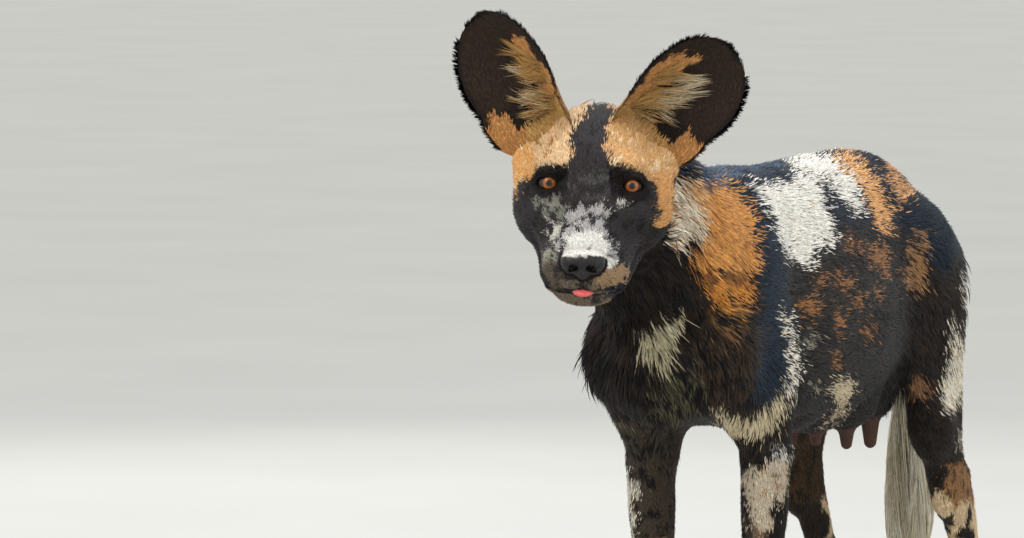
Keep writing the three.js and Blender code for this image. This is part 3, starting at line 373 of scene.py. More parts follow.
def nets(field, low, high, step, coarse=4):
    """A closed surface of the field in four-sided faces, one point in each cell that it crosses."""
    low = np.asarray(low, float)
    count = np.ceil((np.asarray(high) - low) / (step * coarse)).astype(int)
    axes = [low[n] + (np.arange(count[n]) + 0.5) * step * coarse for n in range(3)]
    centres = np.stack(np.meshgrid(*axes, indexing="ij"), -1).reshape(-1, 3)
    rough = field(centres).reshape(count)
    close = np.abs(rough) < 1.9 * step * coarse

    def spread(a):
        a = a.repeat(coarse, 0).repeat(coarse, 1).repeat(coarse, 2)
        return np.pad(a, ((0, 1), (0, 1), (0, 1)), mode="edge")

    value = spread(rough.astype(np.float32))
    marks = spread(close)
    for n in range(3):
        shifted = np.roll(marks, 1, axis=n)
        marks |= shifted
    at = np.argwhere(marks)
    value[marks] = field(low + at * step)
    inside = value < 0
    corners = [(a, b, c) for a in (0, 1) for b in (0, 1) for c in (0, 1)]
    size = np.array(value.shape) - 1
    tally = np.zeros(size, np.int8)
    for a, b, c in corners:
        tally += inside[a:a + size[0], b:b + size[1], c:c + size[2]]
    cells = np.argwhere((tally > 0) & (tally < 8))
    v = np.stack([value[tuple((cells + k).T)] for k in corners], 1)
    total = np.zeros((len(cells), 3))
    crossings = np.zeros(len(cells))
    for i, a in enumerate(corners):
        for j, b in enumerate(corners):
            if j > i and sum(np.abs(np.subtract(a, b))) == 1:
                crossed = (v[:, i] < 0) != (v[:, j] < 0)
                t = np.where(crossed, v[:, i] / np.where(crossed, v[:, i] - v[:, j], 1), 0)[:, None]
                total += np.where(crossed[:, None], np.array(a) + t * np.subtract(b, a), 0)
                crossings += crossed
    points = low + (cells + total / crossings[:, None]) * step
    number = np.full(size, -1, np.int32)
    number[tuple(cells.T)] = np.arange(len(cells))
    faces = []
    for n in range(3):
        u, w = (n + 1) % 3, (n + 2) % 3
        ahead = np.roll(inside, -1, axis=n)
        crossed = inside != ahead
        crossed[tuple(slice(-1, None) if m == n else slice(None) for m in range(3))] = False
        for m in (u, w):
            crossed[tuple(slice(0, 1) if k == m else slice(None) for k in range(3))] = False
            crossed[tuple(slice(-1, None) if k == m else slice(None) for k in range(3))] = False
        edges = np.argwhere(crossed)
        ring = []
        for du, dw in ((0, 0), (1, 0), (1, 1), (0, 1)):
            cell = edges.copy()
            cell[:, u] -= du
            cell[:, w] -= dw
            ring.append(number[tuple(cell.T)])
        quads = np.stack(ring, 1)
        flip = ~inside[tuple(edges.T)]
        quads[flip] = quads[flip][:, ::-1]
        faces.append(quads)
    return points, np.concatenate(faces)


# Turns arrays into Blender meshes
def new_mesh(name, points, faces, colours=None):
    """faces is an array of rows with the same number of corners."""
    mesh = bpy.data.meshes.new(name)
    mesh.vertices.add(len(points))
    mesh.vertices.foreach_set("co", to_scene(points).astype(np.float32).ravel())
    mesh.loops.add(faces.size)
    mesh.loops.foreach_set("vertex_index", faces.astype(np.int32).ravel())
    mesh.polygons.add(len(faces))
    mesh.polygons.foreach_set("loop_start", (np.arange(len(faces)) * faces.shape[1]).astype(np.int32))
    mesh.update(calc_edges=True)
    mesh.polygons.foreach_set("use_smooth", np.full(len(mesh.polygons), True))
    if colours is not None:
        layer = mesh.color_attributes.new("Coat", "FLOAT_COLOR", "POINT")
        rgba = np.ones((len(points), 4), np.float32)
        rgba[:, :3] = colours
        layer.data.foreach_set("color", rgba.ravel())
    mesh.validate()
    piece = bpy.data.objects.new(name, mesh)
    bpy.context.scene.collection.objects.link(piece)
    return piece


def refined(points, faces, test):
    """Splits the faces whose middle the test picks, and turns all faces into triangles."""
    mesh = bpy.data.meshes.new("refining")
    mesh.from_pydata(points.tolist(), [], faces.tolist())
    bm = bmesh.new()
    bm.from_mesh(mesh)
    bm.faces.ensure_lookup_table()
    picked = test(np.array([f.calc_center_median() for f in bm.faces]))
    edges = {e for f, take in zip(bm.faces, picked) if take for e in f.edges}
    edges = sorted(edges, key=lambda e: e.index)
    bmesh.ops.subdivide_edges(bm, edges=edges, cuts=1, use_grid_fill=True)
    bmesh.ops.triangulate(bm, faces=bm.faces[:])
    bm.verts.ensure_lookup_table()
    found = np.array([v.co for v in bm.verts])
    triangles = np.array([[v.index for v in f.verts] for f in bm.faces])
    bm.free()
    bpy.data.meshes.remove(mesh)
    return found, triangles


def point_normals(points, triangles):
    a, b, c = (points[triangles[:, n]] for n in range(3))
    face = np.cross(b - a, c - a)
    normals = np.zeros_like(points)
    for n in range(3):
        np.add.at(normals, triangles[:, n], face)
    return unit(normals)


def kept(points, triangles, mask):
    """The triangles that the mask keeps, with only their own points."""
    triangles = triangles[mask]
    used, again = np.unique(triangles, return_inverse=True)
    return points[used], again.reshape(-1, 3)


def joined(*meshes):
    start, points, triangles = 0, [], []
    for p, t in meshes:
        points.append(p)
        triangles.append(t + start)
        start += len(p)
    return np.concatenate(points), np.concatenate(triangles)


# The skin: a fine mesh of the head and a coarser one of the rest, on the same surface
NECK_CUT = (np.array([-10.0, -150.0, 650.0]), unit([-0.17, 0.98, 0.06]))
HEAD_BOX = ([-115, -365, 515], [165, -120, 760])
BODY_BOX = ([-130, -350, -6], [150, 700, 700])
BODY_STEP, HEAD_STEP, NOSE_STEP, FEET_TOP = 6.0, 2.1, 0.9, 110


def behind_head(p):
    return (p - NECK_CUT[0]) @ NECK_CUT[1]


def fine_places(p):
    v = to_head(p)
    _, depth, r, _ = lid_gap(v)
    mouth = (np.abs(mouth_height(v)) < 7) & (v[:, 0] > 8) & (flesh(p) > -5)
    return ((r < 19) & (depth > 4)) | mouth


def teat_places(p):
    x, y, z = p.T
    return (np.abs(x) < 62) & (y > 200) & (y < 490) & (z > 290) & (z < 374)


def made_skin():
    body, quads = nets(skin_field, *BODY_BOX, BODY_STEP)
    body, triangles = refined(body, quads, lambda p: (p[:, 2] < FEET_TOP) | teat_places(p))
    body = kept(body, triangles, behind_head(body[triangles].mean(1)) > -3)
    top, quads = nets(skin_field, *HEAD_BOX, HEAD_STEP)
    top, triangles = refined(top, quads, fine_places)
    top = kept(top, triangles, behind_head(top[triangles].mean(1)) < 3)
    points, triangles = joined(body, top)
    points = settled(skin_field, points, 2, 2.0)
    points[:, 2] = np.maximum(points[:, 2], 0.0)
    return points, triangles


# The ears: cupped shells with a rolled rim; v runs from the inner rim at -1 to the outer rim at 1
def ear_outline(t):
    lower = 0.84 * np.sqrt(np.clip(1 - (t / 0.28) ** 2, 0, 1))
    middle = 0.84 + 0.16 * np.sin(np.clip(t / 0.5, 0, 1) * math.pi / 2)
    upper = np.clip(1 - np.clip((t - 0.5) / 0.5, 0, 1) ** 2.3, 0, 1) ** (1 / 2.1)
    return np.where(t < 0, lower, np.where(t < 0.5, middle, upper))


def ear_points(side, t, v, layer):
    """Points of an ear, in the head's frame; layer is 0 on the hollow face and 1 on the back."""
    flip = 1 if side == "left" else -1
    along_ear, opening, shift, length, wider = (np.array(a, float) for a in EAR_AIMS[side])
    along_ear = unit(along_ear)
    opening = unit(opening - along_ear * (opening @ along_ear))
    outer = flip * np.cross(along_ear, opening)
    root = EAR_ROOT * [1, flip, 1] + shift
    bow = np.radians(along(EAR_BOW, np.clip(t, -0.25, 1))[:, 1])
    narrow = 1 - 0.14 * np.clip(v, 0, 1) * np.clip((0.5 - t) / 0.4, 0, 1)
    radius = EAR_HALF * ear_outline(t) * narrow / np.sin(bow)
    lobe = EAR_LOBE * np.clip(2 * v - 1, 0, 1) * np.clip(1 - ((t - 0.08) / 0.17) ** 2, 0, 1)
    inner = wider * along(EAR_INNER, np.clip(t, -0.25, 1))[:, 1] * np.clip(-v, 0, 1) ** 1.5
    full = EAR_THICK * (1 - 0.5 * v * v) * (1 - 0.35 * np.clip(t, 0, 1))
    r = radius + 0.7 + layer * (full - 1.4)
    sideways = r * np.sin(bow * v) + lobe - inner
    forward = radius - r * np.cos(bow * v)
    return root + (t * length)[:, None] * along_ear + sideways[:, None] * outer + forward[:, None] * opening


EAR_ROWS, EAR_COLUMNS = 46, 40


def made_ear(side):
    """One closed shell; returns its points, triangles and each point's t, v and layer."""
    t = -0.26 + 1.255 * np.linspace(0, 1, EAR_ROWS)
    v = np.linspace(-0.985, 0.985, EAR_COLUMNS)
    ring = np.concatenate([np.stack([v, v * 0], 1), [[1.0, 0.5]],
                           np.stack([v[::-1], v * 0 + 1], 1), [[-1.0, 0.5]]])
    tt = t.repeat(len(ring))
    vv = np.tile(ring[:, 0], len(t))
    layer = np.tile(ring[:, 1], len(t))
    points = from_head(ear_points(side, tt, vv, layer))
    n = len(ring)
    faces = []
    for i in range(len(t) - 1):
        a = i * n + np.arange(n)
        b = i * n + (np.arange(n) + 1) % n
        faces.append(np.stack([a, b, b + n, a + n], 1))
    quads = np.concatenate(faces)
    for row in (0, len(t) - 1):
        k = np.arange(EAR_COLUMNS - 1)
        far = row * n + 2 * EAR_COLUMNS - k
        cap = np.stack([row * n + k, row * n + k + 1, far - 1, far], 1)
        quads = np.concatenate([quads, cap if row else cap[:, ::-1]])
    triangles = np.concatenate([quads[:, [0, 1, 2]], quads[:, [0, 2, 3]]])
    centre = points.mean(0)
    a, b, c = (points[triangles[:, n]] - centre for n in range(3))
    if np.einsum("ij,ij->i", a, np.cross(b, c)).sum() < 0:
        triangles = triangles[:, ::-1]
    return points, triangles, np.stack([tt, vv, layer], 1)


def ball(centre, radii, rows=24, columns=36, axes=np.eye(3)):
    """A closed egg in fine rings, for the eyes and the tongue."""
    lat = np.linspace(0, math.pi, rows + 1)[1:-1]
    lon = np.linspace(0, 2 * math.pi, columns, endpoint=False)
    shell = [[math.sin(a) * math.cos(b), math.sin(a) * math.sin(b), math.cos(a)] for a in lat for b in lon]
    points = np.array([[0, 0, 1.0]] + shell + [[0, 0, -1.0]])
    faces = []
    for k in range(columns):
        faces.append([0, 1 + k, 1 + (k + 1) % columns])
        for i in range(rows - 2):
            a, b = 1 + i * columns + k, 1 + i * columns + (k + 1) % columns
            faces += [[a, a + columns, b + columns], [a, b + columns, b]]
        last = 1 + (rows - 2) * columns
        faces.append([len(points) - 1, last + (k + 1) % columns, last + k])
    return np.asarray(centre) + (points * radii) @ axes, np.array(faces)


def tube(places, widths, heights, across, around=12):
    """A closed tube through the places; across is the direction of its width."""
    places = np.asarray(places, float)
    points = []
    for i, place in enumerate(places):
        ahead = unit(places[min(i + 1, len(places) - 1)] - places[max(i - 1, 0)])
        upward = unit(np.cross(ahead, across))
        level = np.cross(upward, ahead)
        for k in range(around):
            a = 2 * math.pi * k / around
            points.append(place + level * math.cos(a) * widths[i] + upward * math.sin(a) * heights[i])
    faces = []
    for i in range(len(places) - 1):
        for k in range(around):
            a, b = i * around + k, i * around + (k + 1) % around
            faces += [[a, b, b + around], [a, b + around, a + around]]
    last = (len(places) - 1) * around
    for k in range(1, around - 1):
        faces += [[0, k + 1, k], [last, last + k, last + k + 1]]
    return np.array(points), np.array(faces)


def made_claws():
    parts, nodes = [], []
    for flip, side in ((1, "left"), (-1, "right")):
        for end, legs, size in (("fore", FORELEGS, PAW["fore"]), ("hind", HINDLEGS, PAW["hind"])):
            for n, (_, joint, tip, radius) in enumerate(toes_of(legs[flip]["knuckle"], size)):
                joint, tip = np.array(joint, float) * [flip, 1, 1], np.array(tip, float) * [flip, 1, 1]
                ahead = unit(tip - joint)
                start = tip + [0, 1, 4]
                t = np.linspace(0, 1, 8)
                reach = (radius + 12) * t
                z = np.maximum(start[2] - 12 * t * t, 2.2)
                places = np.stack([start[0] + ahead[0] * reach * 0.3, start[1] - reach, z], 1)
                widths = np.interp(t, [0, 0.45, 0.8, 1], [4.2, 3.7, 2.3, 0.6])
                parts.append(tube(places, widths * 0.72, widths, [flip, 0, 0]))
                nodes.append(f"{end}_claw_{side}_{n + 1}")
    return joined(*parts), nodes


# Where the photograph was taken from, as a place in the modelling frame
VIEW_TURN, VIEW_RISE, VIEW_AWAY, VIEW_SCALE = math.radians(25), math.radians(4), 7.0, 6790.0
WITHERS, WITHERS_AT = np.array([0, 0.080, 0.650]), (705, 168)
VIEW_BACK = np.array([math.sin(VIEW_TURN) * math.cos(VIEW_RISE), -math.cos(VIEW_TURN) * math.cos(VIEW_RISE),
                      math.sin(VIEW_RISE)])
VIEW_RIGHT = np.array([math.cos(VIEW_TURN), math.sin(VIEW_TURN), 0])
VIEW_UP = np.cross(VIEW_BACK, VIEW_RIGHT)
STEP = VIEW_AWAY / VIEW_SCALE
VIEWPOINT = (WITHERS + VIEW_BACK * VIEW_AWAY - VIEW_RIGHT * (WITHERS_AT[0] - 512) * STEP
             + VIEW_UP * (WITHERS_AT[1] - 269) * STEP)


def on_view(p):
    """Where points fall on the flat plan of the markings that are seen from the left front."""
    q = p / 1000 - VIEWPOINT
    far = -(q @ VIEW_BACK)
    return np.stack([512 + VIEW_SCALE * (q @ VIEW_RIGHT) / far, 269 - VIEW_SCALE * (q @ VIEW_UP) / far], 1)


# The lowest height that the outlines reach, below which the blotches are the builder's own
LOWEST_OUTLINE = 262

# Colours of the coat. Each patch is a colour and an outline; where there is a second colour,
# that share of the hair has it.
# The second of these is black hair with a painted blue sheen of sky light on it
BLACK, SKY_SHEEN_BLACK, BROWN_BLACK = (22, 20, 20), (24, 33, 46), (44, 34, 27)
ORANGE, TAN, CREAM, WHITE = (206, 142, 74), (168, 114, 62), (222, 194, 154), (234, 228, 216)
MASK = (49, 45, 46)
FACE_PATCHES = [
    ((216, 180, 136), TAN, 0.25, [(500, 95), (592, 95), (592, 112), (580, 122), (572, 142), (576, 160),
        (570, 174), (545, 164), (528, 176), (512, 200), (498, 170)]),
    ((214, 158, 96), CREAM, 0.2, [(500, 150), (530, 140), (536, 166), (522, 184), (514, 206),
        (500, 200)]),
    ((206, 158, 104), CREAM, 0.3, [(616, 100), (680, 100), (690, 176), (668, 180), (655, 182), (640, 170),
        (625, 166), (612, 172), (604, 150), (606, 132), (618, 112)]),
    ((46, 40, 41), BLACK, 0.35, [(590, 90), (619, 90), (618, 110), (608, 122), (604, 140), (603, 158),
        (610, 174), (566, 174), (574, 160), (568, 142), (578, 122), (590, 112)]),
    ((206, 150, 92), BROWN_BLACK, 0.2, [(652, 176), (672, 176), (672, 200), (666, 245), (655, 262),
        (648, 250), (655, 228), (656, 200)]),
    (MASK, BLACK, 0.3, [(513, 204), (520, 192), (528, 178), (543, 163), (560, 166), (575, 171),
        (605, 169), (625, 165), (640, 168), (651, 178), (656, 200), (655, 230), (648, 247), (640, 262),
        (626, 278), (600, 300), (556, 300), (540, 280), (524, 252), (516, 228)]),
    ((74, 70, 71), MASK, 0.5, [(566, 178), (610, 178), (606, 200), (592, 204), (575, 206), (566, 204)]),
    ((40, 33, 30), BLACK, 0.5, [(533, 178), (540, 169), (552, 170), (560, 180), (562, 190), (554, 197),
        (540, 196), (533, 188)]),
    ((40, 33, 30), BLACK, 0.5, [(618, 184), (626, 175), (640, 176), (649, 186), (648, 195), (636, 200),
        (622, 198), (617, 192)]),
    ((122, 122, 112), MASK, 0.5, [(536, 197), (558, 197), (566, 208), (560, 222), (548, 220),
        (538, 212)]),
    ((200, 196, 186), MASK, 0.4, [(548, 224), (560, 220), (562, 234), (556, 244), (549, 238)]),
    ((148, 146, 132), MASK, 0.4, [(543, 248), (553, 248), (556, 260), (549, 266), (543, 260)]),
    ((190, 186, 178), MASK, 0.3, [(617, 201), (626, 199), (627, 206), (619, 208)]),
    ((168, 164, 158), MASK, 0.4, [(590, 205), (604, 202), (612, 214), (606, 226), (598, 216)]),
    ((170, 167, 164), MASK, 0.42, [(556, 250), (560, 240), (566, 226), (566, 214), (575, 207), (590, 205),
        (601, 214), (605, 230), (613, 244), (618, 262), (612, 270), (556, 264)]),
    ((224, 220, 212), (150, 146, 142), 0.22, [(562, 250), (566, 238), (574, 232), (590, 230), (600, 234),
        (608, 246), (612, 262), (606, 268), (562, 266)]),
    ((92, 80, 66), MASK, 0.35, [(540, 262), (562, 262), (566, 284), (560, 292), (548, 288)]),
    ((160, 132, 100), MASK, 0.38, [(596, 268), (620, 262), (628, 270), (624, 284), (604, 290),
        (596, 282)]),
    ((112, 100, 84), MASK, 0.4, [(560, 279), (600, 281), (600, 291), (560, 290)]),
    ((118, 104, 86), MASK, 0.4, [(552, 293), (610, 292), (612, 300), (600, 312), (560, 312), (552, 300)]),
]
# Patches of the left side and of the far legs, as the face's, from the back down
# The second colour is a painted reflection of the sky on the black coat
FLECK, SKY_REFLECTION_BLUE = (146, 98, 56), (58, 76, 98)
NEAR_PATCHES = [
    # the back: black with painted blue sky sheen
    (SKY_SHEEN_BLACK, BLACK, 0.25, [(640, 130), (860, 120), (905, 150), (930, 200), (905, 240), (700, 260),
        (640, 220)]),
    # painted reflection of the sky along the top of the back
    (SKY_REFLECTION_BLUE, SKY_SHEEN_BLACK, 0.4, [(684, 180), (700, 166), (745, 156), (800, 150), (790, 160), (752, 172), (736, 182),
        (700, 184)]),
    (BROWN_BLACK, BLACK, 0.5, [(560, 225), (704, 225), (706, 300), (720, 330), (712, 400), (640, 430),
        (560, 380)]),
    ((42, 36, 31), BLACK, 0.5, [(783, 225), (905, 225), (915, 330), (900, 450), (783, 450)]),
    ((58, 45, 34), BLACK, 0.45, [(700, 290), (760, 290), (762, 402), (712, 402), (696, 360)]),
    (FLECK, BROWN_BLACK, 0.35, [(839, 236), (848, 238), (849, 251), (841, 250)]),
    (FLECK, BROWN_BLACK, 0.35, [(851, 239), (861, 242), (861, 253), (853, 251)]),
    (FLECK, BROWN_BLACK, 0.3, [(866, 242), (875, 246), (880, 262), (877, 272), (870, 264)]),
    (FLECK, BROWN_BLACK, 0.3, [(872, 286), (881, 288), (880, 298), (872, 296)]),
    (FLECK, BROWN_BLACK, 0.3, [(876, 240), (884, 250), (889, 275), (884, 282), (879, 262)]),
    (FLECK, BROWN_BLACK, 0.35, [(833, 271), (843, 270), (848, 284), (841, 292), (834, 284)]),
    (FLECK, BROWN_BLACK, 0.35, [(812, 275), (824, 274), (824, 287), (814, 289)]),
    (FLECK, BROWN_BLACK, 0.35, [(799, 297), (814, 295), (816, 310), (806, 322), (801, 314)]),
    (FLECK, BROWN_BLACK, 0.45, [(829, 314), (841, 312), (842, 334), (832, 338)]),
    (FLECK, BROWN_BLACK, 0.4, [(849, 294), (861, 296), (860, 311), (850, 309)]),
    (FLECK, BROWN_BLACK, 0.5, [(826, 351), (836, 350), (836, 366), (828, 366)]),
    (FLECK, BROWN_BLACK, 0.5, [(860, 320), (872, 318), (874, 334), (862, 338)]),
    ((132, 128, 112), BLACK, 0.45, [(799, 333), (817, 331), (816, 342), (802, 348)]),
    ((150, 142, 122), BLACK, 0.35, [(811, 383), (821, 384), (820, 393), (812, 392)]),
    ((206, 188, 156), FLECK, 0.2, [(840, 376), (848, 374), (852, 386), (847, 402), (837, 418), (822, 429),
        (816, 431), (830, 417), (838, 404), (836, 394), (828, 389), (830, 384)]),
    # a real black band over the shoulder, tinted blue as painted sky sheen
    ((30, 42, 56), SKY_SHEEN_BLACK, 0.4, [(738, 180), (765, 205), (779, 250), (784, 300), (787, 340), (784, 388),
        (765, 400), (750, 397), (757, 350), (758, 300), (753, 235), (742, 205)]),
    ((240, 224, 200), TAN, 0.22, [(663, 174), (675, 170), (686, 185), (697, 205), (702, 222), (695, 233),
        (684, 226), (680, 239), (672, 245), (662, 242), (660, 215), (662, 195)]),
    ((214, 158, 100), CREAM, 0.3, [(671, 170), (690, 176), (706, 184), (704, 216), (692, 204),
        (682, 186)]),
    ((212, 146, 78), TAN, 0.3, [(698, 184), (722, 180), (741, 196), (749, 215), (755, 235), (757, 262),
        (752, 272), (735, 268), (715, 264), (690, 266), (682, 256), (690, 240), (702, 228), (700, 205)]),
    ((128, 82, 42), BROWN_BLACK, 0.4, [(682, 262), (752, 268), (752, 284), (735, 282), (712, 280),
        (690, 274)]),
    ((204, 134, 58), BROWN_BLACK, 0.25, [(698, 280), (715, 277), (735, 280), (750, 280), (745, 300),
        (739, 314), (730, 319), (722, 302), (714, 308), (706, 297)]),
    ((112, 80, 46), BLACK, 0.45, [(708, 302), (742, 306), (738, 330), (722, 336), (710, 322)]),
    (WHITE, CREAM, 0.15, [(745, 183), (775, 184), (800, 176), (815, 180), (822, 200), (827, 220),
        (834, 247), (820, 242), (812, 240), (809, 270), (800, 264), (790, 264), (784, 250), (777, 235),
        (769, 215), (758, 200)]),
    (WHITE, CREAM, 0.15, [(782, 158), (800, 150), (830, 158), (852, 178), (860, 205), (856, 218),
        (845, 202), (830, 186), (815, 177), (800, 176), (789, 168)]),
    ((222, 164, 104), TAN, 0.25, [(824, 150), (850, 154), (866, 168), (878, 190), (888, 212), (888, 236),
        (880, 232), (870, 208), (856, 182), (842, 165)]),
    ((200, 150, 104), TAN, 0.35, [(884, 156), (898, 165), (908, 186), (909, 204), (898, 202), (889, 182),
        (882, 168)]),
    ((226, 218, 200), CREAM, 0.2, [(781, 303), (789, 318), (793, 335), (796, 360), (794, 386), (788, 402),
        (783, 395), (786, 370), (788, 345), (783, 325)]),
    ((190, 180, 148), BROWN_BLACK, 0.2, [(640, 330), (652, 322), (664, 314), (678, 305), (676, 318),
        (669, 335), (665, 360), (658, 370), (650, 350), (638, 345)]),
    ((84, 80, 60), BLACK, 0.5, [(650, 362), (668, 362), (698, 346), (702, 410), (662, 418), (646, 400)]),
    ((206, 190, 156), BROWN_BLACK, 0.15, [(714, 398), (730, 414), (745, 413), (765, 408), (777, 393),
        (786, 398), (785, 411), (775, 417), (769, 430), (760, 433), (742, 431), (734, 437), (724, 432),
        (716, 416)]),
    ((50, 42, 35), BLACK, 0.4, [(728, 438), (742, 433), (770, 432), (770, 462), (745, 472), (730, 466)]),
    ((214, 208, 196), SKY_SHEEN_BLACK, 0.3, [(770, 446), (778, 442), (788, 446), (788, 456), (778, 456),
        (770, 462)]),
    ((202, 186, 162), TAN, 0.15, [(741, 472), (760, 466), (775, 457), (788, 462), (788, 484), (780, 498),
        (772, 511), (775, 526), (765, 532), (754, 524), (748, 510), (744, 490)]),
    ((146, 112, 92), BROWN_BLACK, 0.2, [(772, 474), (782, 475), (782, 483), (773, 483)]),
    ((60, 54, 50), BLACK, 0.4, [(736, 486), (745, 490), (750, 512), (752, 545), (736, 545)]),
    ((130, 106, 84), BROWN_BLACK, 0.3, [(751, 520), (766, 531), (768, 545), (751, 545)]),
    ((30, 27, 26), BLACK, 0.4, [(776, 504), (796, 496), (796, 545), (768, 545), (774, 526)]),
    ((146, 108, 72), BROWN_BLACK, 0.35, [(914, 228), (924, 231), (925, 255), (922, 284), (910, 294),
        (902, 280), (905, 255)]),
    ((134, 98, 68), BLACK, 0.3, [(909, 378), (927, 378), (928, 399), (912, 400)]),
    ((236, 226, 206), CREAM, 0.25, [(951, 310), (959, 330), (964, 355), (967, 372), (962, 388),
        (956, 402), (950, 410), (943, 402), (940, 385), (946, 370), (951, 345)]),
    (WHITE, CREAM, 0.2, [(962, 260), (972, 280), (975, 312), (966, 302), (963, 280)]),
    ((226, 216, 198), CREAM, 0.2, [(960, 430), (969, 428), (971, 446), (965, 453), (961, 444)]),
    ((152, 112, 74), BROWN_BLACK, 0.25, [(950, 463), (966, 462), (975, 480), (972, 500), (958, 508),
        (947, 496), (945, 478)]),
    ((216, 196, 160), CREAM, 0.2, [(975, 508), (984, 508), (984, 545), (974, 545)]),
]
FAR_PATCHES = [
    ((70, 61, 51), BLACK, 0.4, [(560, 380), (700, 380), (700, 545), (560, 545)]),
    ((116, 106, 80), BROWN_BLACK, 0.4, [(603, 400), (628, 402), (626, 420), (612, 418)]),
    ((230, 222, 204), CREAM, 0.2, [(588, 398), (602, 415), (612, 435), (619, 455), (628, 475), (634, 488),
        (638, 497), (630, 500), (634, 545), (624, 545), (622, 490), (612, 460), (602, 430), (594, 412)]),
    ((118, 86, 56), BLACK, 0.3, [(676, 448), (690, 450), (690, 496), (678, 496)]),
    ((66, 50, 32), BLACK, 0.3, [(780, 430), (930, 430), (930, 545), (780, 545)]),
]
# Patches of the right side, in Y and Z
RIGHT_PATCHES = [
    # the top of the right side: black with painted blue sky sheen
    (SKY_SHEEN_BLACK, BLACK, 0.3, [(-60, 560), (640, 560), (640, 700), (-60, 700)]),
    (WHITE, CREAM, 0.2, [(120, 600), (170, 626), (236, 606), (262, 560), (240, 506), (196, 520),
        (168, 486), (134, 512), (112, 560)]),
    (ORANGE, TAN, 0.3, [(-70, 600), (-20, 640), (30, 610), (44, 560), (20, 508), (-14, 486), (-50, 520),
        (-84, 556)]),
    (WHITE, CREAM, 0.2, [(52, 500), (72, 470), (84, 420), (74, 380), (58, 388), (60, 430), (44, 476)]),
    (TAN, BROWN_BLACK, 0.4, [(270, 470), (330, 500), (372, 470), (360, 420), (310, 402), (276, 430)]),
    (ORANGE, TAN, 0.3, [(330, 640), (400, 652), (446, 620), (438, 580), (396, 570), (356, 592)]),
    (WHITE, CREAM, 0.2, [(476, 610), (520, 618), (548, 580), (536, 540), (500, 548), (480, 576)]),
    (ORANGE, TAN, 0.35, [(560, 540), (590, 560), (616, 520), (604, 470), (576, 466), (562, 500)]),
    (WHITE, CREAM, 0.2, [(440, 470), (476, 440), (482, 390), (452, 370), (432, 410)]),
]


def linear(rgb):
    c = np.asarray(rgb, float) / 255
    return np.where(c <= 0.04045, c / 12.92, ((c + 0.055) / 1.055) ** 2.4)


def inside(outline, xy):
    x, y = xy.T
    found = np.zeros(len(xy), bool)
    for (ax, ay), (bx, by) in zip(outline, outline[1:] + outline[:1]):
        if ay != by:
            crosses = (ay > y) != (by > y)
            found ^= crosses & (x < (bx - ax) * (y - ay) / (by - ay) + ax)
    return found


TABLE = np.random.default_rng(5).random(4096)


def noise(p, size, seed=0):
    """Smooth noise from 0 to 1 with lumps of the given size."""
    q = p / size + seed * 17.3
    base = np.floor(q).astype(np.int64)
    f = q - base
    f = f * f * (3 - 2 * f)
    total = np.zeros(len(p))
    for a in (0, 1):
        for b in (0, 1):
            for c in (0, 1):
                x, y, z = (base + [a, b, c]).T
                value = TABLE[(x * 7919 + y * 104729 + z * 1299709 + seed * 31) % 4096]
                share = (f[:, 0] if a else 1 - f[:, 0]) * (f[:, 1] if b else 1 - f[:, 1])
                total += value * share * (f[:, 2] if c else 1 - f[:, 2])
    return total


def layered(p, size, seed=0):
    return (noise(p, size, seed) * 0.6 + noise(p, size * 0.45, seed + 1) * 0.28
            + noise(p, size * 0.2, seed + 2) * 0.12)


def painted(colours, mask, places, patches, speck):
    """Lays each patch over what is below it."""
    rows = np.flatnonzero(mask)
    for first, second, share, outline in patches:
        hit = rows[inside(outline, places[rows])]
        other = (speck[hit] < share)[:, None]
        colours[hit] = np.where(other, linear(second), linear(first))


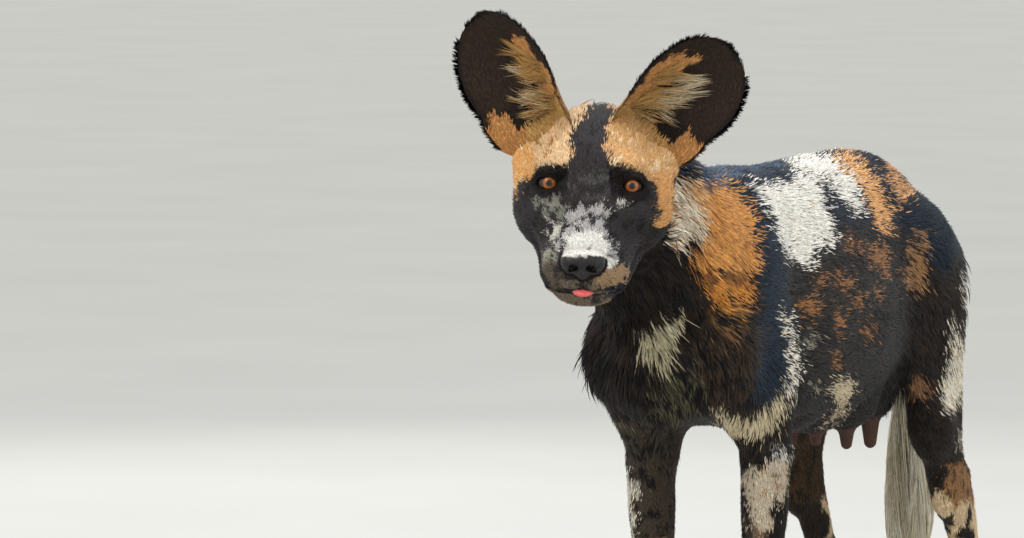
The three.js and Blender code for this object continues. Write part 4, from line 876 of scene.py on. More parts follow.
def coat_colours(p, n, ragged=0.0):
    """The colour of the coat at points of the skin, with the skin's outward direction there;
    ragged mixes the hair of two patches at their edges."""
    x, y, z = p.T
    wobble = np.stack([noise(p, 9, 3) - 0.5, noise(p, 9, 4) - 0.5], 1) * 9
    wobble += np.stack([noise(p, 3.2, 5) - 0.5, noise(p, 3.2, 6) - 0.5], 1) * 5
    wobble += RANDOM.normal(0, 1, wobble.shape) * ragged * (1 + smooth(-10, 40, behind_head(p)))[:, None]
    speck = np.clip((noise(p, 5.5, 7) - 0.5) * 1.5 + 0.5, 0, 1) * 0.6 + noise(p, 2.0, 8) * 0.4
    v = to_head(p)
    head_side = behind_head(p) < 0
    seen = n @ VIEW_BACK + (noise(p, 24, 9) - 0.5) * 0.3 > -0.06
    plan = on_view(p) + wobble
    flat = np.stack([y, z], 1) + wobble * 1.6
    right_leg = (x < -8) & (z < 400)
    lower = smooth(310, 250, z + (noise(p, 40, 10) - 0.5) * 60) * (np.abs(y - 330) > 150)
    # what lies under all patches: black-brown, with blotches on the legs
    blotch = layered(p * [1, 1, 0.7], 46, 12)
    colours = np.tile(linear(BROWN_BLACK), (len(p), 1))
    dark = speck < 0.4
    colours[dark] = linear(BLACK)
    # the upper body: black with painted blue sky sheen
    colours[z > 540 + (noise(p, 50, 13) - 0.5) * 60] = linear(SKY_SHEEN_BLACK)
    for low, colour in ((0.5, CREAM), (0.6, TAN)):
        hit = (lower > 0.5) & (blotch > low) & (blotch < low + 0.1 + (low > 0.55) * 0.02)
        colours[hit] = linear(colour)
    pale = (z < 150) & (blotch < 0.44)
    colours[pale] = linear((206, 192, 164))
    body = ~head_side
    painted(colours, body & seen & ~right_leg & (z > LOWEST_OUTLINE), plan, NEAR_PATCHES, speck)
    painted(colours, body & seen & right_leg & (z > LOWEST_OUTLINE), plan, FAR_PATCHES, speck)
    hidden = body & ~seen & (z > LOWEST_OUTLINE)
    painted(colours, hidden & (x < 10), flat, RIGHT_PATCHES, speck)
    brindle = hidden & (layered(p, 60, 15) > 0.56) & (z < 560)
    colours[brindle] = np.where((speck[brindle] < 0.5)[:, None], linear(TAN), linear(BROWN_BLACK))
    # the back of the head: tan, with a black stripe that runs on along the neck
    back = (v[:, 0] < -40) & (y < 20) & ~seen
    rear = back | (head_side & (v[:, 0] < -60))
    colours[rear] = np.where((speck[rear] < 0.3)[:, None], linear((150, 110, 70)), linear((196, 150, 98)))
    stripe = rear & (np.abs(v[:, 1] + (noise(p, 20, 16) - 0.5) * 10) < 10) & (v[:, 2] > -20)
    colours[stripe] = linear((40, 38, 40))
    under = (head_side & (n[:, 2] < -0.35) & (v[:, 0] < 40)) | (back & (z < 590))
    colours[under] = np.where((speck[under] < 0.4)[:, None], linear(BROWN_BLACK), linear(BLACK))
    # the face is the same on both sides, so its far side takes the mirrored place
    side_face = head_side & ~seen & (v[:, 0] > -60)
    mirrored = from_head(v * [1, -1, 1])
    plan = np.where(side_face[:, None], on_view(mirrored) + wobble, plan)
    painted(colours, head_side & (v[:, 0] > -80) & ~under, plan, FACE_PATCHES, speck)
    return colours


# The unwrap that the tufts' patches lie on: each limb is a band opened round its own middle
def unwrapped(p):
    x, y, z = p.T
    v = to_head(p)
    side = np.sign(x)
    turn = np.arctan2(x, z - 520) / (2 * math.pi) + 0.5
    place = np.stack([0.02 + 0.46 * turn, 0.02 + 0.58 * np.clip((y + 140) / 820, 0, 1)], 1)
    tail = (y > 600) & (z < 540) & (np.abs(x) < 50)
    place[tail] = np.stack([0.52 + 0.1 * (np.arctan2(x, y - 662)[tail] / (2 * math.pi) + 0.5),
                            0.02 + 0.4 * np.clip((z[tail] - 100) / 460, 0, 1)], 1)
    for first, last, centre, low, high in ((-200, 190, 60, 0.66, 0.82), (380, 720, 570, 0.83, 0.99)):
        legs = (y > first) & (y < last) & (z < 380) & ~tail & (np.abs(x) > 14)
        middle = centre + np.where(z > 200, 0, -14)
        angle = np.arctan2(x * side - 66, y - middle) / (2 * math.pi) + 0.5
        across = low + (high - low) * (0.02 + 0.46 * angle + 0.5 * (side > 0))
        place[legs] = np.stack([across, 0.02 + 0.6 * np.clip(z / 380, 0, 1)], 1)[legs]
    skull = behind_head(p) < 3
    round_head = np.arctan2(v[:, 1], v[:, 2] + 30) / (2 * math.pi) + 0.5
    rise = 0.64 + 0.34 * np.clip((v[:, 0] + 140) / 260, 0, 1)
    place[skull] = np.stack([0.02 + 0.46 * round_head, rise], 1)[skull]
    return place


PATCH_HALF, TORN_FACE = 0.0015, 0.05


def with_patches(mesh, roots, corners):
    """Gives each tuft a patch 0.003 across at its root's place; corners places its points in the patch."""
    layer = mesh.uv_layers.new(name="OFBake")
    at = np.repeat(roots, len(corners), axis=0) + np.tile(np.array(corners) * PATCH_HALF, (len(roots), 1))
    index = np.empty(len(mesh.loops), np.int32)
    mesh.loops.foreach_get("vertex_index", index)
    layer.data.foreach_set("uv", at[index].astype(np.float32).ravel())


def with_unwrap(mesh, places):
    """Gives the skin the same unwrap, and keeps the faces on a band's edge in one piece."""
    layer = mesh.uv_layers.new(name="OFBake")
    index = np.empty(len(mesh.loops), np.int32)
    mesh.loops.foreach_get("vertex_index", index)
    corners = places[index].reshape(-1, 3, 2)
    spread = np.abs(corners - corners[:, :1]).max(1)
    torn = (spread[:, 0] > TORN_FACE) | (spread[:, 1] > TORN_FACE)
    corners[torn] = corners[torn][:, :1] + (corners[torn] - corners[torn][:, :1]) * 1e-3
    layer.data.foreach_set("uv", corners.astype(np.float32).ravel())


# Scatters the roots of tufts over a skin
def scattered(points, triangles, normals, density):
    a, b, c = (points[triangles[:, n]] for n in range(3))
    area = np.linalg.norm(np.cross(b - a, c - a), axis=1) / 2
    share = area * density((a + b + c) / 3)
    count = RANDOM.poisson(share)
    face = np.repeat(np.arange(len(triangles)), count)
    u, w = RANDOM.random((2, len(face)))
    fold = u + w > 1
    u, w = np.where(fold, 1 - u, u), np.where(fold, 1 - w, w)
    weights = np.stack([1 - u - w, u, w], 1)
    corners = triangles[face]
    root = (points[corners] * weights[:, :, None]).sum(1)
    normal = unit((normals[corners] * weights[:, :, None]).sum(1))
    return root, normal, lambda values: (values[corners] * weights[:, :, None]).sum(1)


def spun(flow, normal, angle):
    """Turns the lie of the hair about the skin's outward direction."""
    flow = unit(flow - normal * (flow * normal).sum(1, keepdims=True))
    side = np.cross(normal, flow)
    return flow * np.cos(angle)[:, None] + side * np.sin(angle)[:, None]


# Faces of one tuft, its points' corners in its patch, and how bright its root, tip and middle are: the root
# is painted dark as shade among the tufts, the tip light as a painted highlight
SPIKE = np.array([[0, 1, 2], [0, 3, 1], [0, 2, 3], [2, 1, 3]])
SPIKE_CORNERS = [(-1, 0), (1, 0), (0, 1), (0, -1)]
TUFT_SHADE_AND_HIGHLIGHT = (0.5, 1.1, 0.9)


def spikes(root, normal, flow, length, width, lift):
    """Flat four-sided tufts: a root, a tip, and two sides that lie a little lower."""
    side = np.cross(normal, flow)
    ahead = flow * np.cos(lift)[:, None] + normal * np.sin(lift)[:, None]
    base = root - normal * 0.5
    tip = root + ahead * length[:, None]
    middle = root + ahead * (length * 0.42)[:, None] - normal * (0.3 + 0.24 * width)[:, None]
    reach = side * (width / 2)[:, None]
    points = np.stack([base, tip, middle + reach, middle - reach], 1).reshape(-1, 3)
    points[:, 2] = np.maximum(points[:, 2], 0.1 - SHIFT[2])
    faces = (SPIKE[None] + 4 * np.arange(len(root))[:, None, None]).reshape(-1, 3)
    slope = 0.55 * side
    shading = np.stack([normal, normal + 0.35 * ahead, normal + slope, normal - slope], 1).reshape(-1, 3)
    return points, faces, unit(shading)


def spike_piece(name, root, normal, flow, length, width, lift, colour):
    points, faces, shading = spikes(root, normal, flow, length, width, lift)
    bright = np.exp(RANDOM.normal(0, 0.15, len(root)))[:, None]
    # painted shade at the root, painted highlight at the tip
    base, tip, middle = TUFT_SHADE_AND_HIGHLIGHT
    colours = np.stack([colour * bright * base, colour * bright * tip, colour * bright * middle,
                        colour * bright * middle], 1).reshape(-1, 3)
    piece = new_mesh(name, points, faces, np.clip(colours, 0, 1))
    piece.data.normals_split_custom_set_from_vertices(shading.tolist())
    return piece


def strands(paths, widths, across):
    """Long locks with three-sided sections that follow their paths and end in a point."""
    count, steps = paths.shape[:2]
    ahead = unit(np.gradient(paths, axis=1))
    side = unit(np.cross(across[:, None, :], ahead))
    level = np.cross(ahead, side)
    rings = []
    for k in range(3):
        angle = 2 * math.pi * k / 3 + math.pi / 2
        rings.append(side * math.cos(angle) + level * math.sin(angle) * 0.6)
    rings = np.stack(rings, 2)
    points = paths[:, :-1, None, :] + rings[:, :-1] * widths[:, :-1, None, None] / 2
    points = np.concatenate([points.reshape(count, -1, 3), paths[:, -1:]], 1)
    shading = np.concatenate([rings[:, :-1].reshape(count, -1, 3), ahead[:, -1:]], 1)
    faces = [[0, 2, 1]]
    for i in range(steps - 2):
        for k in range(3):
            a, b = 3 * i + k, 3 * i + (k + 1) % 3
            faces += [[a, b, b + 3], [a, b + 3, a + 3]]
    last, tip = 3 * (steps - 2), 3 * (steps - 1)
    faces += [[last + k, last + (k + 1) % 3, tip] for k in range(3)]
    each = points.shape[1]
    faces = (np.array(faces)[None] + each * np.arange(count)[:, None, None]).reshape(-1, 3)
    return points, faces, shading


def strand_piece(name, paths, widths, across, colour, places, dark=0.55):
    """Locks along paths; colour is one row for each lock, or one for each of its steps."""
    points, faces, shading = strands(paths, widths, across)
    count, steps = paths.shape[:2]
    if colour.ndim == 2:
        colour = np.repeat(colour[:, None], steps, 1)
    # painted shade: each lock darkens from its tip towards its root, down to dark
    colour = colour * np.linspace(dark, 1.08, steps)[None, :, None]
    colour = colour * np.exp(RANDOM.normal(0, 0.1, count))[:, None, None]
    rings = np.repeat(colour[:, :-1], 3, axis=1)
    colours = np.concatenate([rings, colour[:, -1:]], 1)
    piece = new_mesh(name, points.reshape(-1, 3), faces, np.clip(colours.reshape(-1, 3), 0, 1))
    piece.data.normals_split_custom_set_from_vertices(unit(shading.reshape(-1, 3)).tolist())
    corners = []
    for i in range(steps - 1):
        corners += [(2 * i / (steps - 1) - 1, h) for h in (-1, 0, 1)]
    with_patches(piece.data, places, corners + [(1, 0)])
    return piece


# How the short coat lies, how long it is in millimetres and how many tufts stand on a square millimetre
TRUNK_HAIR, LONGEST_FACE_HAIR, TRUNK_DENSITY = 11.0, 12.5, 0.22


def lie_of_hair(p, n):
    _, y, z = p.T
    v = to_head(p)
    flow = np.tile([0.0, 1.0, -0.22], (len(p), 1))
    neck = smooth(60, -60, y)[:, None]
    flow = flow * (1 - neck) + np.array([0.0, 0.75, -0.6]) * neck
    chest = (smooth(30, -40, y) * smooth(520, 470, z))[:, None]
    flow = flow * (1 - chest) + np.array([0.0, 0.25, -1.0]) * chest
    front = (smooth(470, 390, z) * smooth(200, 140, y))[:, None]
    flow = flow * (1 - front) + np.array([0.0, 0.16, -1.0]) * front
    haunch = (smooth(380, 470, y) * smooth(600, 480, z))[:, None]
    flow = flow * (1 - haunch) + np.array([0.0, 0.5, -0.9]) * haunch
    shank = (smooth(400, 470, y) * smooth(330, 250, z))[:, None]
    flow = flow * (1 - shank) + np.array([0.0, 0.1, -1.0]) * shank
    tail = (smooth(610, 650, y))[:, None]
    flow = flow * (1 - tail) + np.array([0.0, 0.15, -1.0]) * tail
    toes = smooth(70, 40, z)[:, None]
    flow = flow * (1 - toes) + np.array([0.0, -0.7, -0.7]) * toes
    away = v - [104, 0, -30]
    away[:, 2] *= 1.0 + 0.5 * smooth(-10, -80, v[:, 0])
    skull = smooth(20, -10, behind_head(p))[:, None]
    flow = flow * (1 - skull) + (unit(away) @ AXES) * skull
    rel = v - EYE * np.stack([v[:, 0] * 0 + 1, np.sign(v[:, 1]), v[:, 0] * 0 + 1], 1)
    lid = smooth(30, 19, np.linalg.norm(rel, axis=1))[:, None]
    flow = flow * (1 - lid) + (unit(rel) @ AXES) * lid
    turn = (noise(p, 30, 20) - 0.5) * 0.7 + (noise(p, 7, 21) - 0.5) * 0.5
    return spun(flow, n, turn)


def hair_length(p):
    _, y, z = p.T
    v = to_head(p)
    length = np.full(len(p), TRUNK_HAIR)
    length += 5 * smooth(40, -60, y) + 3 * smooth(600, 650, y)
    length -= 4 * smooth(430, 390, z) * smooth(180, 260, y) * smooth(430, 380, y)
    length = np.where(z < 400, length - 5 * smooth(400, 320, z), length)
    length = np.where(z < 130, length - 3.6 * smooth(130, 60, z), length)
    skull = behind_head(p) < 0
    face = 3.4 + 2.6 * smooth(60, 0, v[:, 0]) + 6.5 * smooth(-10, -90, v[:, 0])
    face = np.minimum(face, LONGEST_FACE_HAIR) * (1 - 0.4 * smooth(34, 20, lid_gap(v)[2]))
    return np.where(skull, face, length)


def hair_density(p):
    x, y, z = p.T
    v = to_head(p)
    density = np.full(len(p), TRUNK_DENSITY)
    density += 0.06 * smooth(400, 330, z) + 0.22 * smooth(120, 60, z)
    skull = behind_head(p) < 0
    density = np.where(skull, 0.36 + 0.62 * smooth(-70, 10, v[:, 0]), density)
    gap, depth, r, _ = lid_gap(v)
    bare = (r < 22) & (depth > 2) & (gap < 3.2)
    bare |= nose_pad(v) < 1.2
    bare |= skull & (np.abs(mouth_height(v)) < 1.6) & (v[:, 0] > 10)
    bare |= (y > 640) & (z < 420) | (z < 2.5)
    for place, _, _, thick in TEATS:
        bare |= (np.hypot(np.abs(x) - place[0] - 2, y - place[1] - 2) < thick * 1.5) & (z < place[2] + 4)
    return np.where(bare, 0, density) * 1


def regions(p):
    """Names of the pieces that the short coat is split into, and which roots each holds."""
    x, y, z = p.T
    v = to_head(p)
    skull = behind_head(p) < 0
    paws = ~skull & (z < 120)
    fore = ~skull & ~paws & (z < 385) & (y < 200)
    hind = ~skull & ~paws & (y > 400) & (z < 395) & (np.abs(x) > 20)
    neck = ~skull & ~paws & ~fore & (y < 70)
    rest = ~(skull | paws | fore | hind | neck)
    return [("coat_head_left", skull & (v[:, 1] > 0)), ("coat_head_right", skull & (v[:, 1] <= 0)),
            ("coat_paws", paws), ("coat_forelegs", fore), ("coat_hindlegs", hind), ("coat_neck", neck),
            ("coat_trunk_left", rest & (x > 0)), ("coat_trunk_right", rest & (x <= 0))]


# Materials, each from nodes
class Nodes:
    """A new material and short ways to add and link its nodes."""

    def __init__(self, name, roughness, specular=0.5):
        self.material = bpy.data.materials.new(name)
        self.material.use_nodes = True
        self.tree = self.material.node_tree
        self.shader = self.tree.nodes["Principled BSDF"]
        self.shader.inputs["Roughness"].default_value = roughness
        self.shader.inputs["Specular IOR Level"].default_value = specular
        self.place = self.add("ShaderNodeTexCoord").outputs["Object"]

    def add(self, kind, **values):
        made = self.tree.nodes.new(kind)
        for key, value in values.items():
            if key in made.inputs:
                made.inputs[key].default_value = value
            else:
                setattr(made, key, value)
        return made

    def link(self, a, b):
        self.tree.links.new(a, b)

    def coat(self):
        return self.add("ShaderNodeAttribute", attribute_name="Coat").outputs["Color"]

    def noise(self, scale, detail=4.0, stretch=None):
        made = self.add("ShaderNodeTexNoise", Scale=scale, Detail=detail)
        place = self.place
        if stretch:
            mapping = self.add("ShaderNodeMapping")
            mapping.inputs["Scale"].default_value = stretch
            self.link(place, mapping.inputs["Vector"])
            place = mapping.outputs["Vector"]
        self.link(place, made.inputs["Vector"])
        return made.outputs["Fac"]

    def ranged(self, value, low, high, start=0.3, end=0.7):
        made = self.add("ShaderNodeMapRange")
        for key, number in (("From Min", start), ("From Max", end), ("To Min", low), ("To Max", high)):
            made.inputs[key].default_value = number
        self.link(value, made.inputs["Value"])
        return made.outputs["Result"]

    def times(self, colour, factor):
        made = self.add("ShaderNodeVectorMath", operation="SCALE")
        self.link(colour, made.inputs[0])
        self.link(factor, made.inputs["Scale"])
        return made.outputs["Vector"]

    def mixed(self, first, second, factor):
        made = self.add("ShaderNodeMix", data_type="RGBA")
        made.inputs["A"].default_value = (*linear(first), 1)
        made.inputs["B"].default_value = (*linear(second), 1)
        self.link(factor, made.inputs["Factor"])
        return made.outputs["Result"]

    def base(self, colour):
        self.link(colour, self.shader.inputs["Base Color"])

    def bump(self, height, strength, distance):
        made = self.add("ShaderNodeBump", Strength=strength, Distance=distance)
        self.link(height, made.inputs["Height"])
        self.link(made.outputs["Normal"], self.shader.inputs["Normal"])


def hair_material(name, roughness, sheen, low, high):
    m = Nodes(name, roughness, 0.12)
    m.base(m.times(m.coat(), m.ranged(m.noise(260, 3), low, high)))
    m.shader.inputs["Sheen Weight"].default_value = sheen
    m.shader.inputs["Sheen Roughness"].default_value = 0.45
    m.shader.inputs["Sheen Tint"].default_value = (0.75, 0.85, 1.0, 1)
    return m.material


def skin_material(name, stretch=(1, 0.35, 1)):
    m = Nodes(name, 0.75, 0.12)
    # the skin's colour is 0.55 to 0.95 of the coat's, as painted shade under the hair
    m.base(m.times(m.coat(), m.ranged(m.noise(700, 4, stretch), 0.55, 0.95)))
    m.bump(m.noise(1100, 3, stretch), 0.6, 0.0012)
    return m.material


def nose_material():
    m = Nodes("nose_leather", 0.4, 0.3)
    m.base(m.times(m.coat(), m.ranged(m.noise(380, 5), 0.6, 1.4)))
    cells = m.add("ShaderNodeTexVoronoi", Scale=900.0)
    m.link(m.place, cells.inputs["Vector"])
    m.bump(cells.outputs["Distance"], 0.5, 0.0005)
    m.shader.inputs["Coat Weight"].default_value = 0.08
    m.shader.inputs["Coat Roughness"].default_value = 0.2
    return m.material


def eye_material():
    m = Nodes("eye_wet", 0.15, 0.3)
    m.base(m.times(m.coat(), m.ranged(m.noise(1500, 3), 0.75, 1.2)))
    m.shader.inputs["Coat Weight"].default_value = 0.3
    m.shader.inputs["Coat Roughness"].default_value = 0.02
    return m.material


def tongue_material():
    m = Nodes("tongue_wet", 0.32, 0.5)
    m.base(m.mixed((196, 66, 66), (224, 98, 94), m.ranged(m.noise(500, 3), 0, 1)))
    m.bump(m.noise(2200, 2), 0.35, 0.0004)
    return m.material


def claw_material():
    m = Nodes("claw_horn", 0.42, 0.5)
    m.base(m.mixed((28, 24, 22), (82, 70, 58), m.ranged(m.noise(420, 5, (1, 0.25, 1)), 0, 1)))
    m.bump(m.noise(1600, 3, (1, 0.2, 1)), 0.3, 0.0003)
    return m.material


def floor_material():
    m = Nodes("studio_floor", 0.9, 0.1)
    m.base(m.mixed((190, 190, 187), (194, 194, 191), m.ranged(m.noise(2.0, 2), 0, 1)))
    return m.material


def finished(piece, material, slot_name, *nodes):
    piece.data.materials.append(material)
    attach(piece, "root")
    if nodes:
        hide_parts(*nodes)
    return piece


HAIR = hair_material("coat_hair", 0.55, 0.025, 0.8, 1.2)
LONG_HAIR = hair_material("long_hair", 0.5, 0.025, 0.9, 1.1)
SIDES = (("left", 1), ("right", -1))

# The skin of the whole body
points, triangles = made_skin()
normals = point_normals(points, triangles)
# the skin is painted darker than the hair on it, as shade under the coat
colours = coat_colours(points, normals) * 0.85
v = to_head(points)
gap, depth, r, _ = lid_gap(v)
near_head = behind_head(points) < 0
dark = linear((26, 21, 20))
lids = (r < 22) & (depth > 2) & (gap < 3.6)
lips = near_head & (np.abs(mouth_height(v)) < 2.6) & (v[:, 0] > 12)
muzzle_end = near_head & (nose_pad(v) < 2.2) & (on_view(points)[:, 1] > 259)
colours[lids | lips | muzzle_end] = dark
for place, _, _, thick in TEATS:
    teat = (np.hypot(np.abs(points[:, 0]) - place[0] - 2, points[:, 1] - place[1] - 2) < thick * 1.6)
    colours[teat & (points[:, 2] < place[2] + 4) & (points[:, 2] > 280)] = linear((84, 62, 54))
skin = new_mesh("skin", points, triangles, colours)
with_unwrap(skin.data, unwrapped(points))
LIMBS = ("shoulder", "forearm", "thigh", "gaskin", "fore_paw", "hind_paw")
finished(skin, skin_material("skin_short_fur"), "coat", "head", "neck", "chest", "belly", "hips", "tail_root",
         *(f"{limb}_{side}" for limb in LIMBS for side, _ in SIDES))

# The short coat, in pieces by region
root, normal, _ = scattered(points, triangles, normals, hair_density)
normal = unit(gradient(flesh, root))
lids = lid_gap(to_head(root))[2] < 36
normal[lids] = unit(gradient(skin_field, root[lids]))
hair_colour = coat_colours(root, normal, 2.0)
gap, _, r, _ = lid_gap(to_head(root))
hair_colour[(r < 26) & (gap < 5.5)] = linear((25, 22, 22))
flow = lie_of_hair(root, normal)
length = hair_length(root) * np.exp(RANDOM.normal(0, 0.2, len(root)))
width = 0.42 * length ** 0.52 * np.exp(RANDOM.normal(0, 0.15, len(root)))
lift = 0.08 + 0.14 * RANDOM.random(len(root)) ** 2 + 0.1 * (RANDOM.random(len(root)) < 0.08)
flow = spun(flow, normal, RANDOM.normal(0, 0.13, len(root)))
places = unwrapped(root)
for name, mask in regions(root):
    piece = spike_piece(name, root[mask], normal[mask], flow[mask], length[mask], width[mask], lift[mask],
                        hair_colour[mask])
    with_patches(piece.data, places[mask], SPIKE_CORNERS)
    finished(piece, HAIR, "coat")

# Longer hair at the sides of the neck, behind the cheeks, and down the backs of the thighs
def ruff_density(p):
    d = behind_head(p)
    collar = smooth(-26, 0, d) * smooth(70, 20, d) * 0.030
    breeches = smooth(600, 640, p[:, 1]) * smooth(330, 380, p[:, 2]) * smooth(560, 500, p[:, 2]) * 0.012
    chest = smooth(-20, -60, p[:, 1]) * smooth(560, 500, p[:, 2]) * 0.010 * (p[:, 2] > 400)
    return (collar + breeches + chest) * (d > -20)


root, normal, _ = scattered(points, triangles, normals, ruff_density)
flow = spun(lie_of_hair(root, normal), normal, RANDOM.normal(0, 0.2, len(root)))
long_length = RANDOM.uniform(22, 38, len(root))
steps = np.linspace(0, 1, 6)
bend = np.sin(steps * 1.9) * 0.28
paths = (root[:, None] - normal[:, None] * 0.5 + flow[:, None] * (long_length[:, None] * steps)[:, :, None]
         + normal[:, None] * (long_length[:, None] * bend * 0.6)[:, :, None])
widths = 1.5 * np.interp(steps, [0, 0.4, 1], [0.8, 1, 0.2])[None] * np.ones((len(root), 1))
ruff = strand_piece("coat_ruff", paths, widths, np.cross(normal, flow), coat_colours(root, normal),
                    unwrapped(root))
finished(ruff, LONG_HAIR, "coat")


# The tail's brush of long hair
def tail_middle(z):
    heights = np.array([p[2] for p, _ in TAIL[::-1]], float)
    return np.stack([np.interp(z, heights, [p[n] for p, _ in TAIL[::-1]]) for n in (0, 1)], -1)


def brush_reach(z):
    table = np.array([[410, 17], [350, 24], [290, 29], [230, 29], [180, 20], [140, 5]], float)[::-1]
    return np.interp(z, table[:, 0], table[:, 1])


BRUSH_TOP, WHITE_BELOW = 446, 366
count = 3000
start = BRUSH_TOP - 236 * RANDOM.random(count) ** 0.9
turn = RANDOM.uniform(0, 2 * math.pi, count)
depth = 0.45 + 0.55 * RANDOM.random(count) ** 0.5
long_length = RANDOM.uniform(80, 135, count)
steps = np.linspace(0, 1, 8)
z = np.maximum(start[:, None] - long_length[:, None] * steps, 134 + 14 * RANDOM.random((count, 1)))
spread = np.interp(steps, [0, 0.3, 0.8, 1], [0, 0.75, 1, 0.92])
radius = 7 + (brush_reach(np.maximum(z, 150)) * depth[:, None] - 7) * spread
sway = turn[:, None] + 0.25 * np.sin(steps * 3 + turn[:, None] * 5)
middle = tail_middle(np.maximum(z, 190))
paths = np.stack([middle[..., 0] + radius * np.cos(sway), middle[..., 1] + radius * np.sin(sway), z], -1)
out = np.stack([np.cos(turn), np.sin(turn), turn * 0], 1)
widths = 1.7 * np.interp(steps, [0, 0.4, 0.8, 1], [0.8, 1, 0.7, 0.2])[None] * np.ones((count, 1))
white = (z + RANDOM.normal(0, 9, (count, 1)) < WHITE_BELOW)[:, :, None]
tone = np.where(RANDOM.random((count, 1)) < 0.25, linear((214, 200, 166)), linear((240, 234, 216)))
band = np.where(RANDOM.random((count, 1)) < 0.3, linear(BROWN_BLACK), linear(BLACK))
places = unwrapped(np.stack([tail_middle(start)[:, 0] + 8 * np.cos(turn),
                             tail_middle(start)[:, 1] + 8 * np.sin(turn), start], 1))
brush = strand_piece("tail_brush_hair", paths, widths, np.cross(out, [0, 0, 1.0]),
                     np.where(white, tone[:, None], band[:, None]), places, 0.85)
finished(brush, LONG_HAIR, "white_brush", "tail_brush")


# The ears
EAR_TONES = {"dark": (50, 38, 30), "black": (34, 26, 22), "tan": (196, 140, 84), "gold": (204, 160, 96),
             "cream": (222, 204, 168)}


def ear_colours(place, p):
    t, v, layer = place.T
    lump = layered(p, 14, 30) - 0.5
    colours = np.tile(linear(EAR_TONES["dark"]), (len(t), 1))
    inner = (v + lump * 0.5 > -0.78) & (v + lump * 0.5 < -0.36) & (t + lump * 0.4 < 0.66) & (layer < 0.5)
    colours[inner] = linear(EAR_TONES["tan"])
    base = t + lump * 0.12 < 0.06
    colours[base & (layer < 0.5)] = linear(EAR_TONES["gold"])
    lobe = (v + lump * 0.3 > 0.42) & (t + lump * 0.2 < 0.22)
    colours[lobe] = linear(EAR_TONES["tan"])
    # painted shade: the hollow where the canal opens is coloured black
    canal_shade = (np.abs(v - 0.28) < 0.24) & (np.abs(t - 0.13) < 0.1) & (layer < 0.5)
    colours[canal_shade] = linear(EAR_TONES["black"])
    rim = (np.abs(v) > 0.93) & (t > 0.25) | (t > 0.95)
    colours[rim] = linear(EAR_TONES["black"])
    back = (layer > 0.5) & (t + lump * 0.3 < 0.2)
    colours[back] = linear((150, 108, 66))
    return colours


FAN_LOCKS = 34


def ear_chart(start, t, v, back=0.0):
    """Where points of an ear lie on the unwrap; back is 1 on its outer face."""
    return np.stack([start + 0.11 * (v + 1) / 2 + 0.12 * back,
                     0.68 + 0.28 * np.clip(t + 0.26, 0, 1.3) / 1.3], 1)


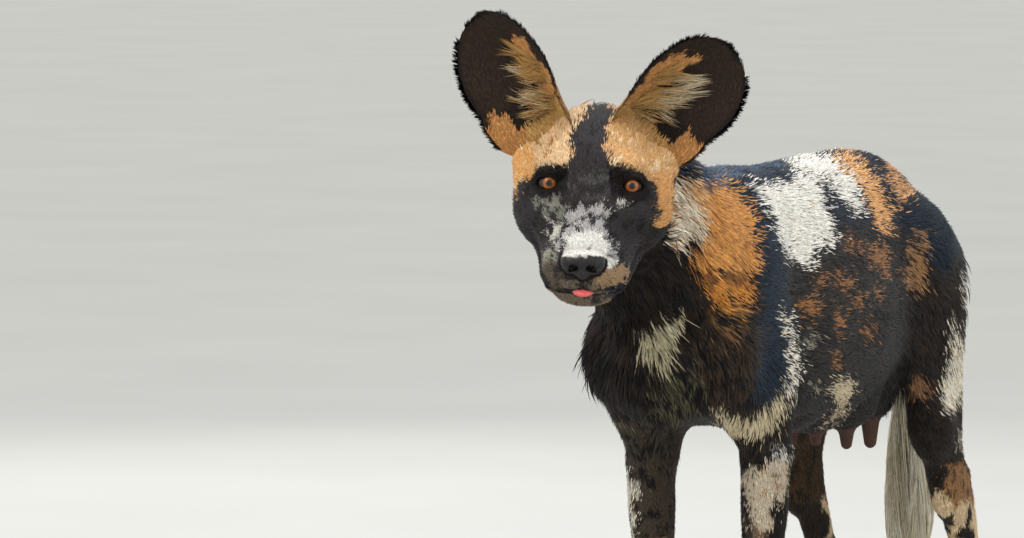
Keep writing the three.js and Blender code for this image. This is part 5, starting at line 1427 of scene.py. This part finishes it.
ear_skin = skin_material("ear_skin", (1, 1, 1))
for side, flip in SIDES:
    ear, faces, place = made_ear(side)
    ear_normals = point_normals(ear, faces)
    # the shell is painted darker than its hair, as shade under the coat
    shell = new_mesh(f"ear_shell_{side}", ear, faces, ear_colours(place, ear) * 0.8)
    start_u = 0.52 if side == "left" else 0.76
    chart = ear_chart(start_u, place[:, 0], place[:, 1], place[:, 2] > 0.5)
    with_unwrap(shell.data, chart)
    finished(shell, ear_skin, "ear", f"ear_{side}")

    root, normal, pick = scattered(ear, faces, ear_normals, lambda p: np.full(len(p), 0.3))
    at = pick(place)
    use = at[:, 0] > -0.1
    root, normal, at = root[use], normal[use], at[use]
    ahead = from_head(ear_points(side, at[:, 0] + 0.02, at[:, 1], at[:, 2]))
    here = from_head(ear_points(side, at[:, 0], at[:, 1], at[:, 2]))
    flow = spun(ahead - here, normal, RANDOM.normal(0, 0.25, len(root)) + 0.25 * flip * (at[:, 2] < 0.5))
    length = RANDOM.uniform(4.5, 7.5, len(root))
    hair = spike_piece(f"ear_coat_{side}", root, normal, flow, length, length * 0.17,
                       RANDOM.uniform(0.1, 0.28, len(root)), ear_colours(at, root))
    with_patches(hair.data, pick(chart)[use], SPIKE_CORNERS)
    finished(hair, HAIR, "ear")

    # the fringe along the rim
    count = 900
    t = RANDOM.uniform(-0.02, 1.02, count)
    edge = np.where(RANDOM.random(count) < 0.5, -1.0, 1.0)
    top = t > 0.9
    v = np.where(top, RANDOM.uniform(-1, 1, count), edge * 0.97)
    t = np.where(top, RANDOM.uniform(0.965, 0.99, count), t)
    layer = RANDOM.uniform(0.1, 0.9, count)
    here = from_head(ear_points(side, t, v, layer))
    inward = from_head(ear_points(side, np.where(top, t - 0.05, t - 0.02), np.where(top, v, v * 0.93), layer))
    beside = from_head(ear_points(side, t, v, layer + 0.5))
    normal = unit(beside - here)
    flow = spun(here - inward, normal, RANDOM.normal(0, 0.25, count))
    length = RANDOM.uniform(4.5, 8, count)
    tone = ear_colours(np.stack([t, v, layer], 1), here)
    hair = spike_piece(f"ear_fringe_{side}", here, normal, flow, length, length * 0.17,
                       RANDOM.normal(0, 0.16, count), tone)
    spot = ear_chart(start_u, t, v)
    with_patches(hair.data, spot, SPIKE_CORNERS)
    finished(hair, HAIR, "ear")

    # long pale hair that fans over the hollow
    count = 420
    lock = RANDOM.integers(0, FAN_LOCKS, count)
    t = (0.04 + 0.46 * RANDOM.random(FAN_LOCKS))[lock] + RANDOM.normal(0, 0.016, count)
    v = (-0.62 + 0.5 * (RANDOM.random(FAN_LOCKS) ** 1.3)[lock] + 0.25 * (0.25 - t)
         + RANDOM.normal(0, 0.035, count))
    rise = RANDOM.uniform(0.02, 0.3, FAN_LOCKS)[lock] + RANDOM.normal(0, 0.022, count)
    sweep = RANDOM.uniform(0.14, 0.62, FAN_LOCKS)[lock] * RANDOM.uniform(0.75, 1.15, count)
    steps = np.linspace(0, 1, 7)
    high = RANDOM.uniform(3, 9, count)
    paths = np.stack([
        from_head(ear_points(side, t + rise * u, v + sweep * u ** 1.2,
                             -(0.2 + high * math.sin(u * 2.2)) / 3.3))
        for u in steps], 1)
    widths = 0.95 * np.interp(steps, [0, 0.4, 1], [0.9, 1, 0.2])[None] * np.ones((count, 1))
    pale = ((v > -0.42) & (t + RANDOM.normal(0, 0.08, count) > 0.1))[:, None]
    tone = np.where(pale, linear(EAR_TONES["cream"]), linear(EAR_TONES["gold"]))
    spot = ear_chart(start_u, t, v)
    fan = strand_piece(f"ear_fan_{side}", paths, widths, np.tile([0.3, 0.2, 1.0], (count, 1)),
                       tone, spot, 0.6)
    finished(fan, LONG_HAIR, "ear")

# The eyes: a ball with a bulging cornea; the iris is in rings about the line of sight
EYE_WET = eye_material()
for side, flip in SIDES:
    centre = from_head(EYE * [1, flip, 1])
    sight = unit(VIEWPOINT * 1000 - centre)
    across = unit(np.cross([0, 0, 1.0], sight))
    axes = np.array([across, np.cross(sight, across), sight])
    ball_points, faces = ball([0, 0, 0], [1, 1, 1], 72, 96)
    angle = np.arccos(np.clip(ball_points[:, 2], -1, 1))
    off = angle * EYE_RADIUS
    swell = EYE_RADIUS - 0.1 + 1.0 * np.clip(1 - (angle / 0.66) ** 2, 0, 1)
    around = np.arctan2(ball_points[:, 1], ball_points[:, 0])
    fibres = 0.85 + 0.3 * noise(np.stack([around * 60, off * 1.5, off * 0], 1), 4, 40)
    ring = np.interp(off, [0, 2.4, 2.9, 4.2, 6.2, 7.4, 8.0, 20], [0, 0, 1, 2, 3, 4, 5, 5])
    tones = np.array([linear(c) for c in ((5, 4, 4), (70, 35, 12), (158, 90, 33), (124, 66, 24), (22, 13, 8),
                                          (38, 30, 27))])
    low_ring = np.floor(ring).astype(int)
    mix = (ring - low_ring)[:, None]
    tone = tones[low_ring] * (1 - mix) + tones[np.minimum(low_ring + 1, 5)] * mix
    tone = tone * np.where(off > 7.6, 1, fibres)[:, None]
    eye = new_mesh(f"eyeball_{side}", centre + (ball_points * swell[:, None]) @ axes, faces, tone)
    finished(eye, EYE_WET, "eye", f"eye_{side}")

# The nose, the tongue and the claws
corners = from_head([[a, b, c] for a in (74, 114) for b in (-27, 27) for c in (-58, -12)])
pad, quads = nets(nose_field, corners.min(0), corners.max(0), NOSE_STEP)
pad = settled(nose_field, pad, 2, 1.0)
triangles = np.concatenate([quads[:, [0, 1, 2]], quads[:, [0, 2, 3]]])
dust = smooth(258, 254.5, on_view(pad)[:, 1] + 5 * (noise(pad, 3, 50) - 0.5))[:, None]
nose_colour = linear((17, 15, 16)) * (1 - dust) + linear((198, 192, 184)) * dust
finished(new_mesh("nose_pad", pad, triangles, nose_colour), nose_material(), "nose", "nose")
tongue, faces = ball(from_head([95, 0, -MOUTH_LEVEL]), np.array([10, 11, 4.2]), 24, 36, AXES)
finished(new_mesh("tongue_tip", tongue, faces), tongue_material(), "tongue", "tongue")
(claw_points, faces), claw_nodes = made_claws()
finished(new_mesh("claws", claw_points, faces), claw_material(), "claw", *claw_nodes)

# The floor, the lights and the camera
floor = bpy.data.meshes.new("floor")
floor.from_pydata([(-30, -30, 0), (30, -30, 0), (30, 30, 0), (-30, 30, 0)], [], [(0, 1, 2, 3)])
floor = bpy.data.objects.new("floor", floor)
floor.location.z = -0.0006
floor.data.materials.append(floor_material())
bpy.context.scene.collection.objects.link(floor)

bpy.context.scene.view_settings.view_transform = "Standard"
world = bpy.data.worlds.new("studio")
bpy.context.scene.world = world
world.use_nodes = True
world.node_tree.nodes["Background"].inputs["Color"].default_value = (0.95, 0.95, 0.93, 1)
world.node_tree.nodes["Background"].inputs["Strength"].default_value = 1.15


def soft_light(name, place, aim, size, power, colour):
    data = bpy.data.lights.new(name, "AREA")
    data.shape, data.size, data.energy, data.color = "DISK", size, power, colour
    light = bpy.data.objects.new(name, data)
    light.location = place
    light.rotation_euler = (Vector(aim) - Vector(place)).to_track_quat("-Z", "Y").to_euler()
    bpy.context.scene.collection.objects.link(light)


soft_light("key", (-1.0, -3.4, 3.1), (0, -0.2, 0.45), 2.4, 66, (1.0, 0.97, 0.93))
soft_light("fill", (3.2, -1.6, 1.2), (0, 0, 0.4), 2.4, 18, (0.95, 0.97, 1.0))
soft_light("sky", (0.4, 0.6, 3.2), (0, 0.1, 0.4), 2.2, 40, (0.82, 0.9, 1.0))
soft_light("rim", (-2.2, 2.8, 1.8), (0, 0, 0.5), 2.0, 24, (1.0, 0.98, 0.95))

camera = bpy.data.objects.new("camera", bpy.data.cameras.new("camera"))
bpy.context.scene.collection.objects.link(camera)
back, right, up = (Vector(a) for a in (VIEW_BACK, VIEW_RIGHT, VIEW_UP))
turned = Matrix((right, up, back)).transposed().to_4x4()
turned.translation = Vector(VIEWPOINT + SHIFT / 1000)
camera.matrix_world = turned
camera.data.sensor_width = 36
camera.data.lens = 36 * VIEW_SCALE / 1024
camera.data.clip_end = 100
bpy.context.scene.camera = camera
